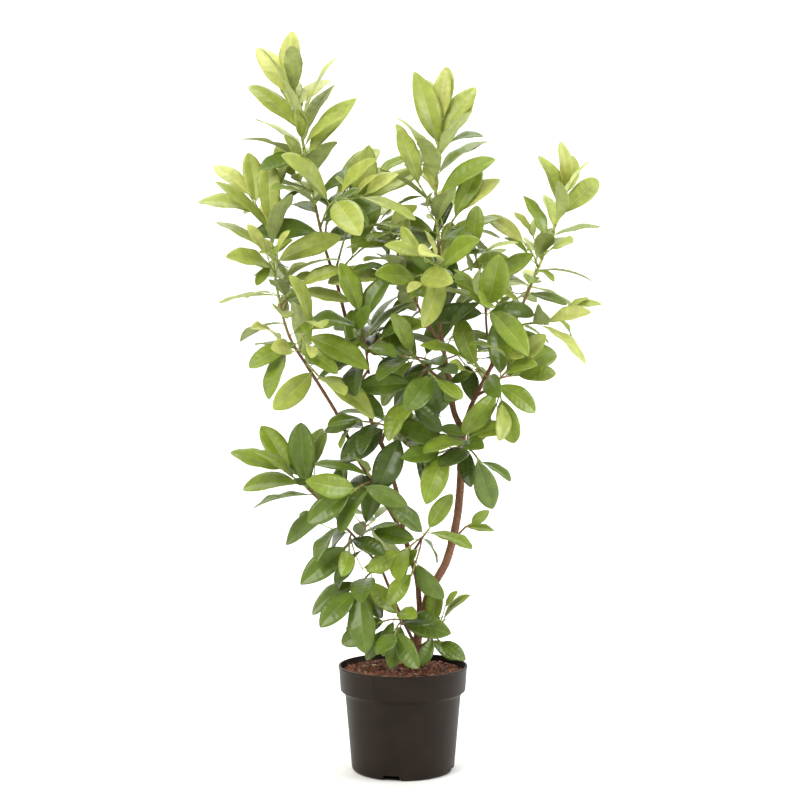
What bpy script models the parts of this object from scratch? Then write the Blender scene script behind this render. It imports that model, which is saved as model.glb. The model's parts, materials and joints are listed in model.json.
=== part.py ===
"""A cherry laurel in a nursery pot: a hollow pot, its bark substrate, and a shrub of two stems that
carry tapering boughs, each with one mass of leaves fused on its twigs.

Places and sizes in the tables are millimetres, from the middle of the pot's underside: +X to the
right of the front view, -Y towards its viewer and +Z up. The meshes are in metres.
"""

import math
import random

import bmesh
import bpy
from mathutils import Vector
from mathutils.bvhtree import BVHTree

MM = 0.001
GAP = 0.3  # clearance between neighbouring pieces
MERGE = 0.000002  # metres

# The pot
RIM_DIAMETER = 280
POT_HEIGHT = 225
COLLAR_FOOT_DIAMETER = 271
COLLAR_FOOT_HEIGHT = 172
SHOULDER_HEIGHT = 161
SHOULDER_DIAMETER = 250
FOOT_DIAMETER = 221
FOOT_ROUNDING = 9
FOOT_STEPS = 3
WALL = 2.4
LIP_WIDTH = 4.0
LIP_DEPTH = 5.0
LIP_EDGE = 1.0  # the bevel on the rim's outer edge
LIP_STEP = 1.3  # how far the collar is set in below the rim's lip
COLLAR_EDGE = 1.7  # the bevel under the collar
FLOOR = 3.0
POT_SEGMENTS = 36
NOTCH_COUNT = 4
NOTCH_WIDTH = 43
NOTCH_HEIGHT = 11.5
NOTCH_DEPTH = 26
NOTCH_FLARE = (0.74, 1.26)  # its width at its top and at its mouth, over the width halfway
NOTCH_TURN = -13  # degrees from the front, towards the left

# The substrate
SOIL_EDGE_HEIGHT = 211
SOIL_MOUND = 7
SOIL_LUMP = 2.2
SOIL_CLEARANCE = 0.45  # to the pot
SOIL_RINGS = 5
SOIL_SEGMENTS = 18  # half the pot's, so that its facets stay inside the pot's own
SOIL_SEED = 5
FOOT_PAD = 52  # the level patch under the trunk

# The limbs. Each passes through a few places, from its parent to its tip.
LIMB_SIDES = 8
LIMB_STEPS = 2
SPUR_SIDES = 6
FLARE = 0.28
FLARE_HEIGHT = 14
LEVEL_CUT = 5  # the trunk's foot is cut level up to this far above the ground
LIMBS = {
    "trunk": dict(parent=None, share=0, foot=10.0, tip=9.4,
                  places=[(24, 0, 219), (29, 1, 262), (38, 3, 322)]),
    "right_stem": dict(parent="trunk", share=0.93, foot=8.9, tip=8.5,
                       places=[(60, 2, 388), (93, 4, 445), (117, 2, 540), (126, 0, 640), (129, 0, 740)]),
    "left_stem": dict(parent="trunk", share=0.93, foot=6.2, tip=5.6,
                      places=[(32, 18, 400), (17, 16, 456), (0, 10, 512)]),
    "middle_leader": dict(parent="right_stem", share=0.99, foot=7.0, tip=4.2,
                          places=[(110, 6, 777), (95, 8, 870), (82, 6, 945)]),
    "right_bough": dict(parent="right_stem", share=0.98, foot=5.4, tip=4.0,
                        places=[(152, 2, 795), (195, 8, 877), (228, 10, 936)]),
    "left_leader": dict(parent="left_stem", share=0.99, foot=5.0, tip=3.8,
                        places=[(-8, 12, 575), (-38, 16, 682), (-72, 18, 762), (-109, 16, 914),
                                (-142, 14, 1045)]),
    "outer_left_bough": dict(parent="left_stem", share=0.96, foot=4.4, tip=3.6,
                             places=[(-42, -6, 582), (-98, -14, 673), (-141, -20, 766),
                                     (-204, -24, 868)]),
    "low_left_bough": dict(parent="trunk", share=0.42, foot=3.8, tip=3.1,
                           places=[(2, -10, 319), (-18, -14, 365), (-43, -18, 426)]),
    "middle_left_spur": dict(parent="middle_leader", share=0.86, foot=3.6, tip=3.0,
                             places=[(46, -22, 972)]),
    "middle_right_spur": dict(parent="right_bough", share=0.70, foot=3.6, tip=3.0,
                              places=[(182, -16, 940)]),
    "right_low_spur": dict(parent="right_bough", share=0.36, foot=3.6, tip=3.0,
                           places=[(189, -20, 826)]),
    "fork_spur": dict(parent="right_stem", share=0.80, foot=3.4, tip=2.8,
                      places=[(136, -26, 690)]),
    "centre_spur": dict(parent="middle_leader", share=0.46, foot=3.6, tip=3.0,
                        places=[(64, -18, 858)]),
    "rear_spur": dict(parent="middle_leader", share=0.30, foot=3.6, tip=3.0,
                      places=[(100, 48, 832)]),
    "left_inner_spur": dict(parent="left_leader", share=0.62, foot=3.6, tip=3.0,
                            places=[(-76, -28, 862)]),
    "centre_left_spur": dict(parent="left_leader", share=0.36, foot=3.4, tip=2.8,
                             places=[(-38, -14, 734)]),
    "lower_left_spur": dict(parent="outer_left_bough", share=0.26, foot=3.2, tip=2.7,
                            places=[(-52, -38, 612)]),
    "low_centre_spur": dict(parent="left_stem", share=0.72, foot=3.2, tip=2.6,
                            places=[(38, -14, 496)]),
    "right_stem_spur": dict(parent="right_stem", share=0.44, foot=2.4, tip=2.2,
                            places=[(132, -4, 520)]),
    "base_right_spur": dict(parent="trunk", share=0.36, foot=2.8, tip=2.3,
                            places=[(50, -14, 276)]),
    "base_left_spur": dict(parent="low_left_bough", share=0.34, foot=2.8, tip=2.3,
                           places=[(-2, -34, 318)]),
}

# The masses of leaves. A stem grows on from its bough's tip through a few places, and twigs leave it
# at a share of its length. towards is the way a twig points, seen from above: 0 is right, 90 is the
# rear, 180 is left and 270 is the viewer. rise is how steeply it climbs, in degrees. leaves is how
# many the rule sets on the stem or the twig, and leaf is how long they are. low_lean, droop and width
# stand only where a mass differs from the usual lean, droop and leaf width below.
MASSES = {
    "left_crown": dict(
        bough="left_leader", leaf=164, width=0.195, low_lean=70, leaves=22, turn=60, seed=11,
        places=[(-175, 12, 1150), (-213, -6, 1340), (-236, -12, 1482)],
        twigs=[dict(share=0.06, towards=5, rise=68, length=190, leaves=6),
               dict(share=0.22, towards=80, rise=45, length=190, leaves=5),
               dict(share=0.30, towards=290, rise=20, length=150, leaves=4),
               dict(share=0.03, towards=30, rise=50, length=90, leaves=3)]),
    "outer_left_crown": dict(
        bough="outer_left_bough", leaf=150, width=0.195, low_lean=84, leaves=17, turn=0, seed=12,
        places=[(-250, -28, 950), (-278, -30, 1086), (-286, -36, 1225)],
        twigs=[dict(share=0.78, towards=160, rise=62, length=105, leaves=4),
               dict(share=0.10, towards=285, rise=20, length=140, leaves=4),
               dict(share=0.35, towards=80, rise=25, length=180, leaves=5),
               dict(share=0.03, towards=300, rise=-25, length=80, leaves=4),
               dict(share=0.12, towards=230, rise=10, length=50, leaves=3),
               dict(share=0.40, towards=330, rise=40, length=60, leaves=3)]),
    "middle_crown": dict(
        bough="middle_leader", leaf=154, width=0.195, low_lean=66, leaves=22, turn=180, seed=13,
        places=[(80, 2, 1080), (70, -6, 1270), (86, -8, 1430)],
        twigs=[dict(share=0.38, towards=350, rise=60, length=85, leaves=4),
               dict(share=0.20, towards=345, rise=30, length=95, leaves=4),
               dict(share=0.18, towards=270, rise=15, length=170, leaves=4),
               dict(share=0.34, towards=88, rise=25, length=200, leaves=6),
               dict(share=0.14, towards=175, rise=50, length=60, leaves=3),
               dict(share=0.50, towards=185, rise=62, length=105, leaves=4)]),
    "middle_left_mass": dict(
        bough="middle_left_spur", leaf=142, leaves=8, turn=200, seed=14,
        places=[(0, -46, 1080), (-30, -60, 1165)],
        twigs=[dict(share=0.20, towards=165, rise=45, length=80, leaves=4),
               dict(share=0.35, towards=280, rise=10, length=110, leaves=3)]),
    "middle_right_mass": dict(
        bough="middle_right_spur", leaf=138, leaves=8, turn=330, seed=15,
        places=[(172, -20, 1050), (146, -24, 1140)],
        twigs=[dict(share=0.35, towards=0, rise=60, length=50, leaves=3),
               dict(share=0.15, towards=270, rise=15, length=105, leaves=4)]),
    "right_crown": dict(
        bough="right_bough", leaf=124, width=0.195, low_lean=74, leaves=18, turn=180, seed=16,
        places=[(300, 8, 1099), (335, 2, 1190), (352, 0, 1270)],
        twigs=[dict(share=0.46, towards=150, rise=60, length=60, leaves=3),
               dict(share=0.06, towards=330, rise=5, length=80, leaves=4),
               dict(share=0.22, towards=80, rise=20, length=170, leaves=5)]),
    "right_low_mass": dict(
        bough="right_low_spur", leaf=132, low_lean=70, leaves=4, turn=350, seed=17,
        places=[(226, -46, 866)],
        twigs=[dict(share=0.50, towards=345, rise=10, length=35, leaves=3),
               dict(share=0.20, towards=310, rise=-60, length=45, leaves=3),
               dict(share=0.10, towards=210, rise=40, length=80, leaves=3)]),
    "fork_mass": dict(
        bough="fork_spur", leaf=120, droop=0.55, leaves=5, turn=300, seed=18,
        places=[(138, -54, 724)],
        twigs=[dict(share=0.25, towards=205, rise=-10, length=60, leaves=4),
               dict(share=0.20, towards=310, rise=-35, length=50, leaves=3)]),
    "centre_mass": dict(
        bough="centre_spur", leaf=138, leaves=5, turn=180, seed=19,
        places=[(20, -50, 898)],
        twigs=[dict(share=0.30, towards=280, rise=-15, length=110, leaves=4),
               dict(share=0.20, towards=205, rise=-50, length=80, leaves=4)]),
    "rear_mass": dict(
        bough="rear_spur", leaf=138, leaves=7, turn=90, seed=20,
        places=[(90, 165, 950), (96, 225, 1040)],
        twigs=[dict(share=0.20, towards=150, rise=15, length=120, leaves=5),
               dict(share=0.30, towards=20, rise=10, length=120, leaves=5)]),
    "left_inner_mass": dict(
        bough="left_inner_spur", leaf=138, leaves=6, turn=180, seed=21,
        places=[(-90, -76, 980)],
        twigs=[dict(share=0.15, towards=195, rise=20, length=60, leaves=4),
               dict(share=0.25, towards=85, rise=20, length=180, leaves=5),
               dict(share=0.30, towards=345, rise=45, length=60, leaves=3)]),
    "centre_left_mass": dict(
        bough="centre_left_spur", leaf=134, droop=0.5, leaves=5, turn=200, seed=22,
        places=[(-30, -58, 762)],
        twigs=[dict(share=0.10, towards=90, rise=5, length=150, leaves=5),
               dict(share=0.45, towards=340, rise=-40, length=80, leaves=5),
               dict(share=0.30, towards=195, rise=10, length=60, leaves=4)]),
    "lower_left_mass": dict(
        bough="lower_left_spur", leaf=130, droop=0.5, leaves=5, turn=100, seed=27,
        places=[(-72, -70, 642)],
        twigs=[dict(share=0.50, towards=215, rise=-20, length=60, leaves=4)]),
    "low_left_mass": dict(
        bough="low_left_bough", leaf=136, droop=0.5, leaves=14, turn=200, seed=23,
        places=[(-94, -24, 493), (-200, -34, 604), (-258, -36, 650)],
        twigs=[dict(share=0.05, towards=215, rise=-40, length=75, leaves=5),
               dict(share=0.35, towards=265, rise=-40, length=50, leaves=3),
               dict(share=0.25, towards=80, rise=15, length=150, leaves=5)]),
    "low_centre_mass": dict(
        bough="low_centre_spur", leaf=112, leaves=4, turn=30, seed=24,
        places=[(54, -34, 520)],
        twigs=[dict(share=0.40, towards=215, rise=-30, length=60, leaves=4),
               dict(share=0.20, towards=235, rise=-62, length=80, leaves=3)]),
    "right_stem_mass": dict(
        bough="right_stem_spur", leaf=80, low_lean=40, leaves=2, turn=0, seed=28,
        places=[(146, -10, 530)],
        twigs=[]),
    "base_right_mass": dict(
        bough="base_right_spur", leaf=104, low_lean=78, droop=0.7, leaves=2, turn=10, seed=25,
        places=[(66, -18, 310)],
        twigs=[dict(share=0.60, towards=350, rise=45, length=35, leaves=2),
               dict(share=0.50, towards=305, rise=-15, length=35, leaves=2)]),
    "base_left_mass": dict(
        bough="base_left_spur", leaf=120, droop=0.9, leaves=4, turn=250, seed=26,
        places=[(-12, -60, 346)],
        twigs=[dict(share=0.50, towards=195, rise=-5, length=40, leaves=3),
               dict(share=0.30, towards=255, rise=-20, length=50, leaves=4)]),
}
STEM_STEPS = 1
STEM_FOOT = 0.96  # of its bough's tip
STEM_KNEE = 2  # tip radii of the bough that the stem runs straight on before it bends
STEM_TIP = 2.0
TWIG_SHARE = 0.75  # of the stem's thickness where a twig leaves it
TWIG_BEND = (0.45, 0.08)  # share of the twig's length, and how far it bends there along the stem
TWIG_TURN = 100  # degrees from one twig's first leaf to the next twig's
FIRST_LEAF = 0.22  # share of the stem's length
FIRST_TWIG_LEAF = 0.30
LAST_LEAF = 0.985
CROWDING = 0.85  # below 1, the leaves stand closer towards the tip
LEAF_TURN = 137.5
LEAF_WIDTH = 0.225  # half the width, over the length, where a mass gives no width of its own
LEAF_KEEL = 0.022
LEAF_ROOT = 0.8
LEAF_STALK = 0.16  # of its length, which may pass close to the leaves of its own mass
LEAF_REACH = 0.6  # of its length, from its middle
LEAF_ARCH = (0.03, 0.09)
LEAF_FOLD = 0.28
LEAF_CLEARANCE = 0.6
LOWEST_LEAF = 229  # height, just above the pot's rim
TUBE_CLEARANCE = 0.5
SEARCH_SIDES = 6  # of the tube that stands for a limb or twig in the search trees
LEAF_STATIONS = ((0.26, 0.62), (0.57, 1.0), (0.85, 0.78))  # share of the length and of the half width
LOW_LEAN = 86  # degrees from the twig at its first leaf, where a mass gives no low_lean of its own
TOP_LEAN = 16
LEAN_CHANGE = 1.3  # above 1, the leaves stay spread for longer up the twig
DROOP = 0.28  # how far the lowest leaf's heading sinks, where a mass gives no droop of its own
ROLL = 32
SKYWARD = 0.54  # how much a leaf's upper side turns to the sky rather than along its twig
FRONTWARD = 0.55  # how much it turns to the light from the front
LEAF_AT_FOOT = 0.86  # of the full length, at the twig's foot
FULL_FROM = 0.25  # share of the way up a twig's leaves from where they are full length
SHORT_FROM = 0.82  # and from where they shorten again
LENGTH_SPREAD = (0.88, 1.1)
DEPTH_SHARE = 0.8  # below 1, leaves turn to the sides: the crown is wider than it is deep
SIDEWAYS = 0.95  # a twig that points further to a side than this has its turns counted from the front
SPREAD = 6  # degrees at the first try, and 9 more at each further one
MORE_SPREAD = 9
SHRINK = 0.04  # of the length at each further try
TRIES = 9

FINISHES = {
    "moulded_black_plastic": dict(colour=(0.032, 0.029, 0.026), roughness=0.5),
    "bark_substrate": dict(colour=(0.15, 0.055, 0.024), roughness=0.95),
    "cherry_laurel_bark": dict(colour=(0.12, 0.056, 0.029), roughness=0.75),
    "young_leaves": dict(colour=(0.34, 0.43, 0.09), roughness=0.5),
    "mature_leaves": dict(colour=(0.10, 0.19, 0.03), roughness=0.4),
}


def clear_scene():
    for item in list(bpy.data.objects):
        bpy.data.objects.remove(item)


def new_collection(name):
    made = bpy.data.collections.new(name)
    bpy.context.scene.collection.children.link(made)
    return made


def new_material(name):
    made = bpy.data.materials.new(name)
    made.use_nodes = True
    shader = made.node_tree.nodes["Principled BSDF"]
    shader.inputs["Base Color"].default_value = (*FINISHES[name]["colour"], 1)
    shader.inputs["Roughness"].default_value = FINISHES[name]["roughness"]
    shader.inputs["Metallic"].default_value = 0
    return made


def place(x, y, z):
    return Vector((x, y, z)) * MM


# Growth: paths, limbs, twigs and the places of the leaves


def smooth_path(places, steps):
    """Points on a smooth curve through the places, with the same number of steps in each span."""
    ends = [2 * places[0] - places[1]] + places + [2 * places[-1] - places[-2]]
    path = []
    for a, b, c, d in zip(ends, ends[1:], ends[2:], ends[3:]):
        for step in range(steps):
            t = step / steps
            bend = (c - a) * t + (2 * a - 5 * b + 4 * c - d) * t**2 + (3 * b - a - 3 * c + d) * t**3
            path.append(b + bend / 2)
    path.append(places[-1].copy())
    return path


def lengths_along(path):
    total = [0.0]
    for a, b in zip(path, path[1:]):
        total.append(total[-1] + (b - a).length)
    return total


def point_at(path, share):
    """The point at a share of the path's length, and the path's direction there."""
    total = lengths_along(path)
    wanted = share * total[-1]
    for a, b, low, high in zip(path, path[1:], total, total[1:]):
        if wanted <= high:
            break
    return a.lerp(b, (wanted - low) / (high - low)), (b - a).normalized()


def radius_at(limb, share):
    return limb["foot"] + (limb["tip"] - limb["foot"]) * share


def grow_limbs():
    """The path and the end radii of each limb, from the trunk outwards."""
    grown = {}
    for name, row in LIMBS.items():
        places = [place(*p) for p in row["places"]]
        if row["parent"]:
            start, _ = point_at(grown[row["parent"]]["path"], row["share"])
            places.insert(0, start)
        grown[name] = dict(
            parent=row["parent"],
            path=smooth_path(places, LIMB_STEPS),
            foot=row["foot"] * MM,
            tip=row["tip"] * MM,
            sides=SPUR_SIDES if name.endswith("spur") else LIMB_SIDES,
        )
    return grown


def direction(towards, rise):
    """The way that a twig points, from its two angles in degrees."""
    across, up = math.radians(towards), math.radians(rise)
    return Vector((math.cos(up) * math.cos(across), math.cos(up) * math.sin(across), math.sin(up)))


def grow_twigs(row, bough):
    """The mass's stem, which starts just clear of its bough's tip, and its twigs."""
    end, heading = point_at(bough["path"], 1.0)
    start = end + heading * GAP * MM
    knee = start + heading * bough["tip"] * STEM_KNEE
    stem_places = [start, knee] + [place(*p) for p in row["places"]]
    stem = dict(
        path=smooth_path(stem_places, STEM_STEPS),
        foot=bough["tip"] * STEM_FOOT,
        tip=STEM_TIP * MM,
        leaves=row["leaves"],
        turn=row["turn"],
        first=FIRST_LEAF,
    )
    twigs = [stem]
    for number, side in enumerate(row["twigs"], 1):
        base, along = point_at(stem["path"], side["share"])
        tip = base + direction(side["towards"], side["rise"]) * side["length"] * MM
        bend = base.lerp(tip, TWIG_BEND[0]) + along * (tip - base).length * TWIG_BEND[1]
        twigs.append(
            dict(
                path=smooth_path([base, bend, tip], STEM_STEPS),
                foot=radius_at(stem, side["share"]) * TWIG_SHARE,
                tip=STEM_TIP * MM,
                leaves=side["leaves"],
                turn=row["turn"] + TWIG_TURN * number,
                first=FIRST_TWIG_LEAF,
            )
        )
    return twigs


def across_to(heading, wanted):
    """The wanted direction, squared up to the leaf's heading."""
    return (wanted - heading * wanted.dot(heading)).normalized()


def rolled(heading, upper, angle):
    return upper * math.cos(angle) + heading.cross(upper) * math.sin(angle)


def new_leaf(base, heading, upper, length, width, chance):
    """A leaf by its base, its heading, the way its upper side faces, its length and its half width."""
    arch = chance.uniform(*LEAF_ARCH)
    return dict(base=base, heading=heading, upper=upper, length=length, width=width * length, arch=arch)


def leaf_points(leaf, grow=0.0):
    """The corners of a leaf's solid: three round its root, three at each station and one at its tip."""
    heading, upper, length = leaf["heading"], leaf["upper"], leaf["length"]
    side = heading.cross(upper)
    root = LEAF_ROOT * MM
    points = [
        leaf["base"] - side * root + upper * root,
        leaf["base"] + side * root + upper * root,
        leaf["base"] - upper * root,
    ]
    for share, fullness in LEAF_STATIONS:
        rise = 4 * leaf["arch"] * share * (1 - share) * length
        middle = leaf["base"] + heading * length * share + upper * rise
        half = leaf["width"] * fullness + grow
        fold = upper * half * LEAF_FOLD
        keel = upper * (LEAF_KEEL * length + grow)
        points += [middle - side * half + fold, middle + side * half + fold, middle - keel]
    points.append(leaf["base"] + heading * (length + grow))
    return points


def leaf_faces():
    """Triangles between the rings of three, closed by the root's triangle and the tip."""
    faces = [(0, 2, 1)]
    rings = len(LEAF_STATIONS)
    for ring in range(rings):
        low, high = 3 * ring, 3 * ring + 3
        for k in range(3):
            n = (k + 1) % 3
            faces += [(low + k, low + n, high + n), (low + k, high + n, high + k)]
    last, tip = 3 * rings, 3 * rings + 3
    faces += [(last + k, last + (k + 1) % 3, tip) for k in range(3)]
    return faces


def leaf_tree(leaf, stalk):
    """A search tree of a leaf from a share of its length on, which shows whether it touches something."""
    points = leaf_points(leaf, LEAF_CLEARANCE * MM)
    for corner in range(3):
        points[corner] = points[corner] + leaf["heading"] * leaf["length"] * stalk
    return BVHTree.FromPolygons(points, leaf_faces())


def tube_tree(limb, grow):
    """A search tree of a limb or twig, as a tube of flat sides."""
    points, faces = [], []
    path = limb["path"]
    total = lengths_along(path)
    for index, centre in enumerate(path):
        before, after = path[max(index - 1, 0)], path[min(index + 1, len(path) - 1)]
        along = (after - before).normalized()
        across = along.orthogonal().normalized()
        beside = along.cross(across)
        radius = radius_at(limb, total[index] / total[-1]) + grow
        for k in range(SEARCH_SIDES):
            angle = 2 * math.pi * k / SEARCH_SIDES
            points.append(centre + (across * math.cos(angle) + beside * math.sin(angle)) * radius)
    for index in range(len(path) - 1):
        low, high = SEARCH_SIDES * index, SEARCH_SIDES * (index + 1)
        for k in range(SEARCH_SIDES):
            n = (k + 1) % SEARCH_SIDES
            faces.append((low + k, low + n, high + n, high + k))
    return BVHTree.FromPolygons(points, faces)


def add_tube(limb, mass, taken):
    path = limb["path"]
    centre = (path[0] + path[-1]) / 2
    reach = max((p - centre).length for p in path) + limb["foot"]
    tree = tube_tree(limb, TUBE_CLEARANCE * MM)
    limb["space"] = dict(mass=mass, blade=tree, whole=tree, centre=centre, reach=reach)
    taken.append(limb["space"])


def keep_if_clear(leaf, twig, taken):
    """Whether the leaf stays clear: its blade of its own mass, and all of it of everything else.

    It hangs no lower than the pot's rim either. If it stays, the leaves after it keep clear of it too.
    """
    if min(point.z for point in leaf_points(leaf)) < LOWEST_LEAF * MM:
        return False
    mass = twig["space"]["mass"]
    space = dict(
        mass=mass,
        blade=leaf_tree(leaf, LEAF_STALK),
        whole=leaf_tree(leaf, 0),
        centre=leaf["base"] + leaf["heading"] * leaf["length"] / 2,
        reach=leaf["length"] * LEAF_REACH,
    )
    for other in taken:
        if other is twig["space"]:
            continue
        if (space["centre"] - other["centre"]).length > space["reach"] + other["reach"]:
            continue
        extent = "blade" if other["mass"] == mass else "whole"
        if space[extent].overlap(other[extent]):
            return False
    taken.append(space)
    return True


def leaf_size(climb):
    """How long a leaf is up the twig: a little short at its foot, and short again near its tip."""
    grown = LEAF_AT_FOOT + (1 - LEAF_AT_FOOT) * min(climb / FULL_FROM, 1)
    return grown * (1 - max(climb - SHORT_FROM, 0))


def grow_leaves(twig, row, chance, taken):
    """Leaves up a twig, each a fixed turn on from the last, kept only where they touch nothing."""
    leaves = []
    for k in range(twig["leaves"]):
        climb = k / max(twig["leaves"] - 1, 1)
        share = twig["first"] + (LAST_LEAF - twig["first"]) * climb**CROWDING
        base, axis = point_at(twig["path"], share)
        east = Vector((1, 0, 0)) if abs(axis.x) < SIDEWAYS else Vector((0, -1, 0))
        across = across_to(axis, east)
        beside = axis.cross(across)
        low_lean = row.get("low_lean", LOW_LEAN)
        usual_lean = low_lean + (TOP_LEAN - low_lean) * climb**LEAN_CHANGE
        for attempt in range(TRIES):
            spread = SPREAD + MORE_SPREAD * attempt
            turn = math.radians(twig["turn"] + LEAF_TURN * k + chance.uniform(-spread, spread))
            lean = math.radians(usual_lean + chance.uniform(-spread, spread))
            out = (across * math.cos(turn) + beside * math.sin(turn) * DEPTH_SHARE).normalized()
            heading = axis * math.cos(lean) + out * math.sin(lean)
            heading.z -= row.get("droop", DROOP) * (1 - climb)
            heading.normalize()
            light = axis * (1 - SKYWARD) + Vector((0, -FRONTWARD, SKYWARD))
            upper = across_to(heading, light)
            upper = rolled(heading, upper, math.radians(chance.uniform(-ROLL, ROLL)))
            full = row["leaf"] * MM * leaf_size(climb)
            length = full * chance.uniform(*LENGTH_SPREAD) * (1 - SHRINK * attempt)
            width = row.get("width", LEAF_WIDTH)
            leaf = new_leaf(base, heading, upper, length, width, chance)
            if keep_if_clear(leaf, twig, taken):
                leaves.append(leaf)
                break
    return leaves


def grow_plant():
    """The limbs, and each mass's twigs and leaves."""
    limbs = grow_limbs()
    taken = []
    for limb in limbs.values():
        add_tube(limb, None, taken)
    masses = {}
    for name, row in MASSES.items():
        twigs = grow_twigs(row, limbs[row["bough"]])
        for twig in twigs:
            add_tube(twig, name, taken)
        masses[name] = dict(twigs=twigs, leaves=[])
    for name, row in MASSES.items():
        chance = random.Random(row["seed"])
        for twig in masses[name]["twigs"]:
            masses[name]["leaves"] += grow_leaves(twig, row, chance, taken)
    return limbs, masses


# Meshes


def triangle_profile():
    """A three-sided section one metre in radius, which a twig's curve is bevelled with."""
    data = bpy.data.curves.new("twig_section", "CURVE")
    line = data.splines.new("POLY")
    line.points.add(2)
    line.use_cyclic_u = True
    for k, point in enumerate(line.points):
        angle = math.radians(90 + 120 * k)
        point.co = (math.cos(angle), math.sin(angle), 0, 1)
    section = bpy.data.objects.new("twig_section", data)
    section.hide_render = True
    return section


def tube_mesh(name, limb, grow=0.0, section=None, flare=0.0):
    """A tapering tube along the limb's path, made as a curve and turned into a closed mesh."""
    data = bpy.data.curves.new(name, "CURVE")
    data.dimensions = "3D"
    data.use_fill_caps = True
    if section:
        data.bevel_mode = "OBJECT"
        data.bevel_object = section
    else:
        data.bevel_depth = 1.0
        data.bevel_resolution = limb["sides"] // 2 - 2  # a bevel of resolution n has 2 n + 4 sides
    path = limb["path"]
    total = lengths_along(path)
    line = data.splines.new("POLY")
    line.points.add(len(path) - 1)
    for index, point in enumerate(line.points):
        share = total[index] / total[-1]
        swell = 1 + flare * math.exp(-total[index] / (FLARE_HEIGHT * MM))
        point.co = (*path[index], 1)
        point.radius = radius_at(limb, share) * swell + grow
    curve = bpy.data.objects.new(name, data)
    bpy.context.scene.collection.objects.link(curve)
    bpy.context.view_layer.update()
    mesh = bpy.data.meshes.new_from_object(curve.evaluated_get(bpy.context.evaluated_depsgraph_get()))
    bpy.data.objects.remove(curve)
    bpy.data.curves.remove(data)
    weld(mesh)
    return mesh


def weld(mesh):
    work = bmesh.new()
    work.from_mesh(mesh)
    bmesh.ops.remove_doubles(work, verts=work.verts, dist=MERGE)
    bmesh.ops.recalc_face_normals(work, faces=work.faces)
    work.to_mesh(mesh)
    work.free()


def new_object(name, mesh, collection, material=None):
    made = bpy.data.objects.new(name, mesh)
    collection.objects.link(made)
    if material:
        mesh.materials.clear()
        mesh.materials.append(material)
    return made


def apply_boolean(item, operation, operand, solver="EXACT"):
    """Cut or join the item and keep the result as its mesh. The operand is an object or a collection."""
    change = item.modifiers.new(operation.lower(), "BOOLEAN")
    change.operation = operation
    change.solver = solver
    if isinstance(operand, bpy.types.Collection):
        change.operand_type = "COLLECTION"
        change.collection = operand
    else:
        change.object = operand
    bpy.context.view_layer.update()
    mesh = bpy.data.meshes.new_from_object(item.evaluated_get(bpy.context.evaluated_depsgraph_get()))
    item.modifiers.clear()
    item.data = mesh


def level_foot(mesh, ground):
    """Set the slanting foot of a limb level on the ground."""
    for vertex in mesh.vertices:
        if vertex.co.z < ground + LEVEL_CUT * MM:
            vertex.co.z = ground


def make_limbs(limbs, parts, cutters, bark):
    """Each limb as a tapering tube, cut clear of the limb that it leaves and of its earlier siblings."""
    for name, limb in limbs.items():
        flare = FLARE if name == "trunk" else 0.0
        item = new_object(name, tube_mesh(name, limb, flare=flare), parts, bark)
        if name == "trunk":
            level_foot(item.data, limb["path"][0].z)
        for other, neighbour in limbs.items():
            if other == name:
                break
            if other == limb["parent"] or neighbour["parent"] == limb["parent"]:
                flare = FLARE if other == "trunk" else 0.0
                mesh = tube_mesh("cutter", neighbour, grow=GAP * MM, flare=flare)
                cutter = new_object(f"{name}_seat", mesh, cutters)
                apply_boolean(item, "DIFFERENCE", cutter)
                bpy.data.objects.remove(cutter)
        for face in item.data.polygons:
            face.use_smooth = True


def keep_largest_body(mesh):
    """Drop the loose scraps and sealed hollows that fusing can leave: only the largest shell stays."""
    work = bmesh.new()
    work.from_mesh(mesh)
    bmesh.ops.remove_doubles(work, verts=work.verts, dist=MERGE)
    unseen = set(work.verts)
    shells = []
    while unseen:
        shell, edge = set(), [unseen.pop()]
        while edge:
            vertex = edge.pop()
            shell.add(vertex)
            for link in vertex.link_edges:
                other = link.other_vert(vertex)
                if other in unseen:
                    unseen.discard(other)
                    edge.append(other)
        shells.append(shell)
    shells.sort(key=len)
    for shell in shells[:-1]:
        bmesh.ops.delete(work, geom=list(shell), context="VERTS")
    bmesh.ops.recalc_face_normals(work, faces=work.faces)
    work.to_mesh(mesh)
    work.free()


def is_closed(mesh):
    """Whether each edge has exactly two faces."""
    work = bmesh.new()
    work.from_mesh(mesh)
    closed = all(edge.is_manifold for edge in work.edges)
    work.free()
    return closed


def make_mass(name, mass, parts, section, material):
    """The mass's stem, with its twigs and leaves joined on by one union."""
    stem, *side = mass["twigs"]
    stem_mesh = tube_mesh(name, stem, section=section)
    item = new_object(name, stem_mesh, parts, material)
    pieces = bpy.data.collections.new(f"{name}_pieces")
    for twig in side:
        new_object("twig", tube_mesh("twig", twig, section=section), pieces)
    faces = leaf_faces()
    for leaf in mass["leaves"]:
        mesh = bpy.data.meshes.new("leaf")
        mesh.from_pydata(leaf_points(leaf), [], faces)
        new_object("leaf", mesh, pieces)
    apply_boolean(item, "UNION", pieces)
    keep_largest_body(item.data)
    if not is_closed(item.data):
        item.data = stem_mesh
        apply_boolean(item, "UNION", pieces, solver="MANIFOLD")
        keep_largest_body(item.data)
    for piece in list(pieces.objects):
        bpy.data.objects.remove(piece)
    bpy.data.collections.remove(pieces)
    item.data.materials.clear()
    item.data.materials.append(material)


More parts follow.
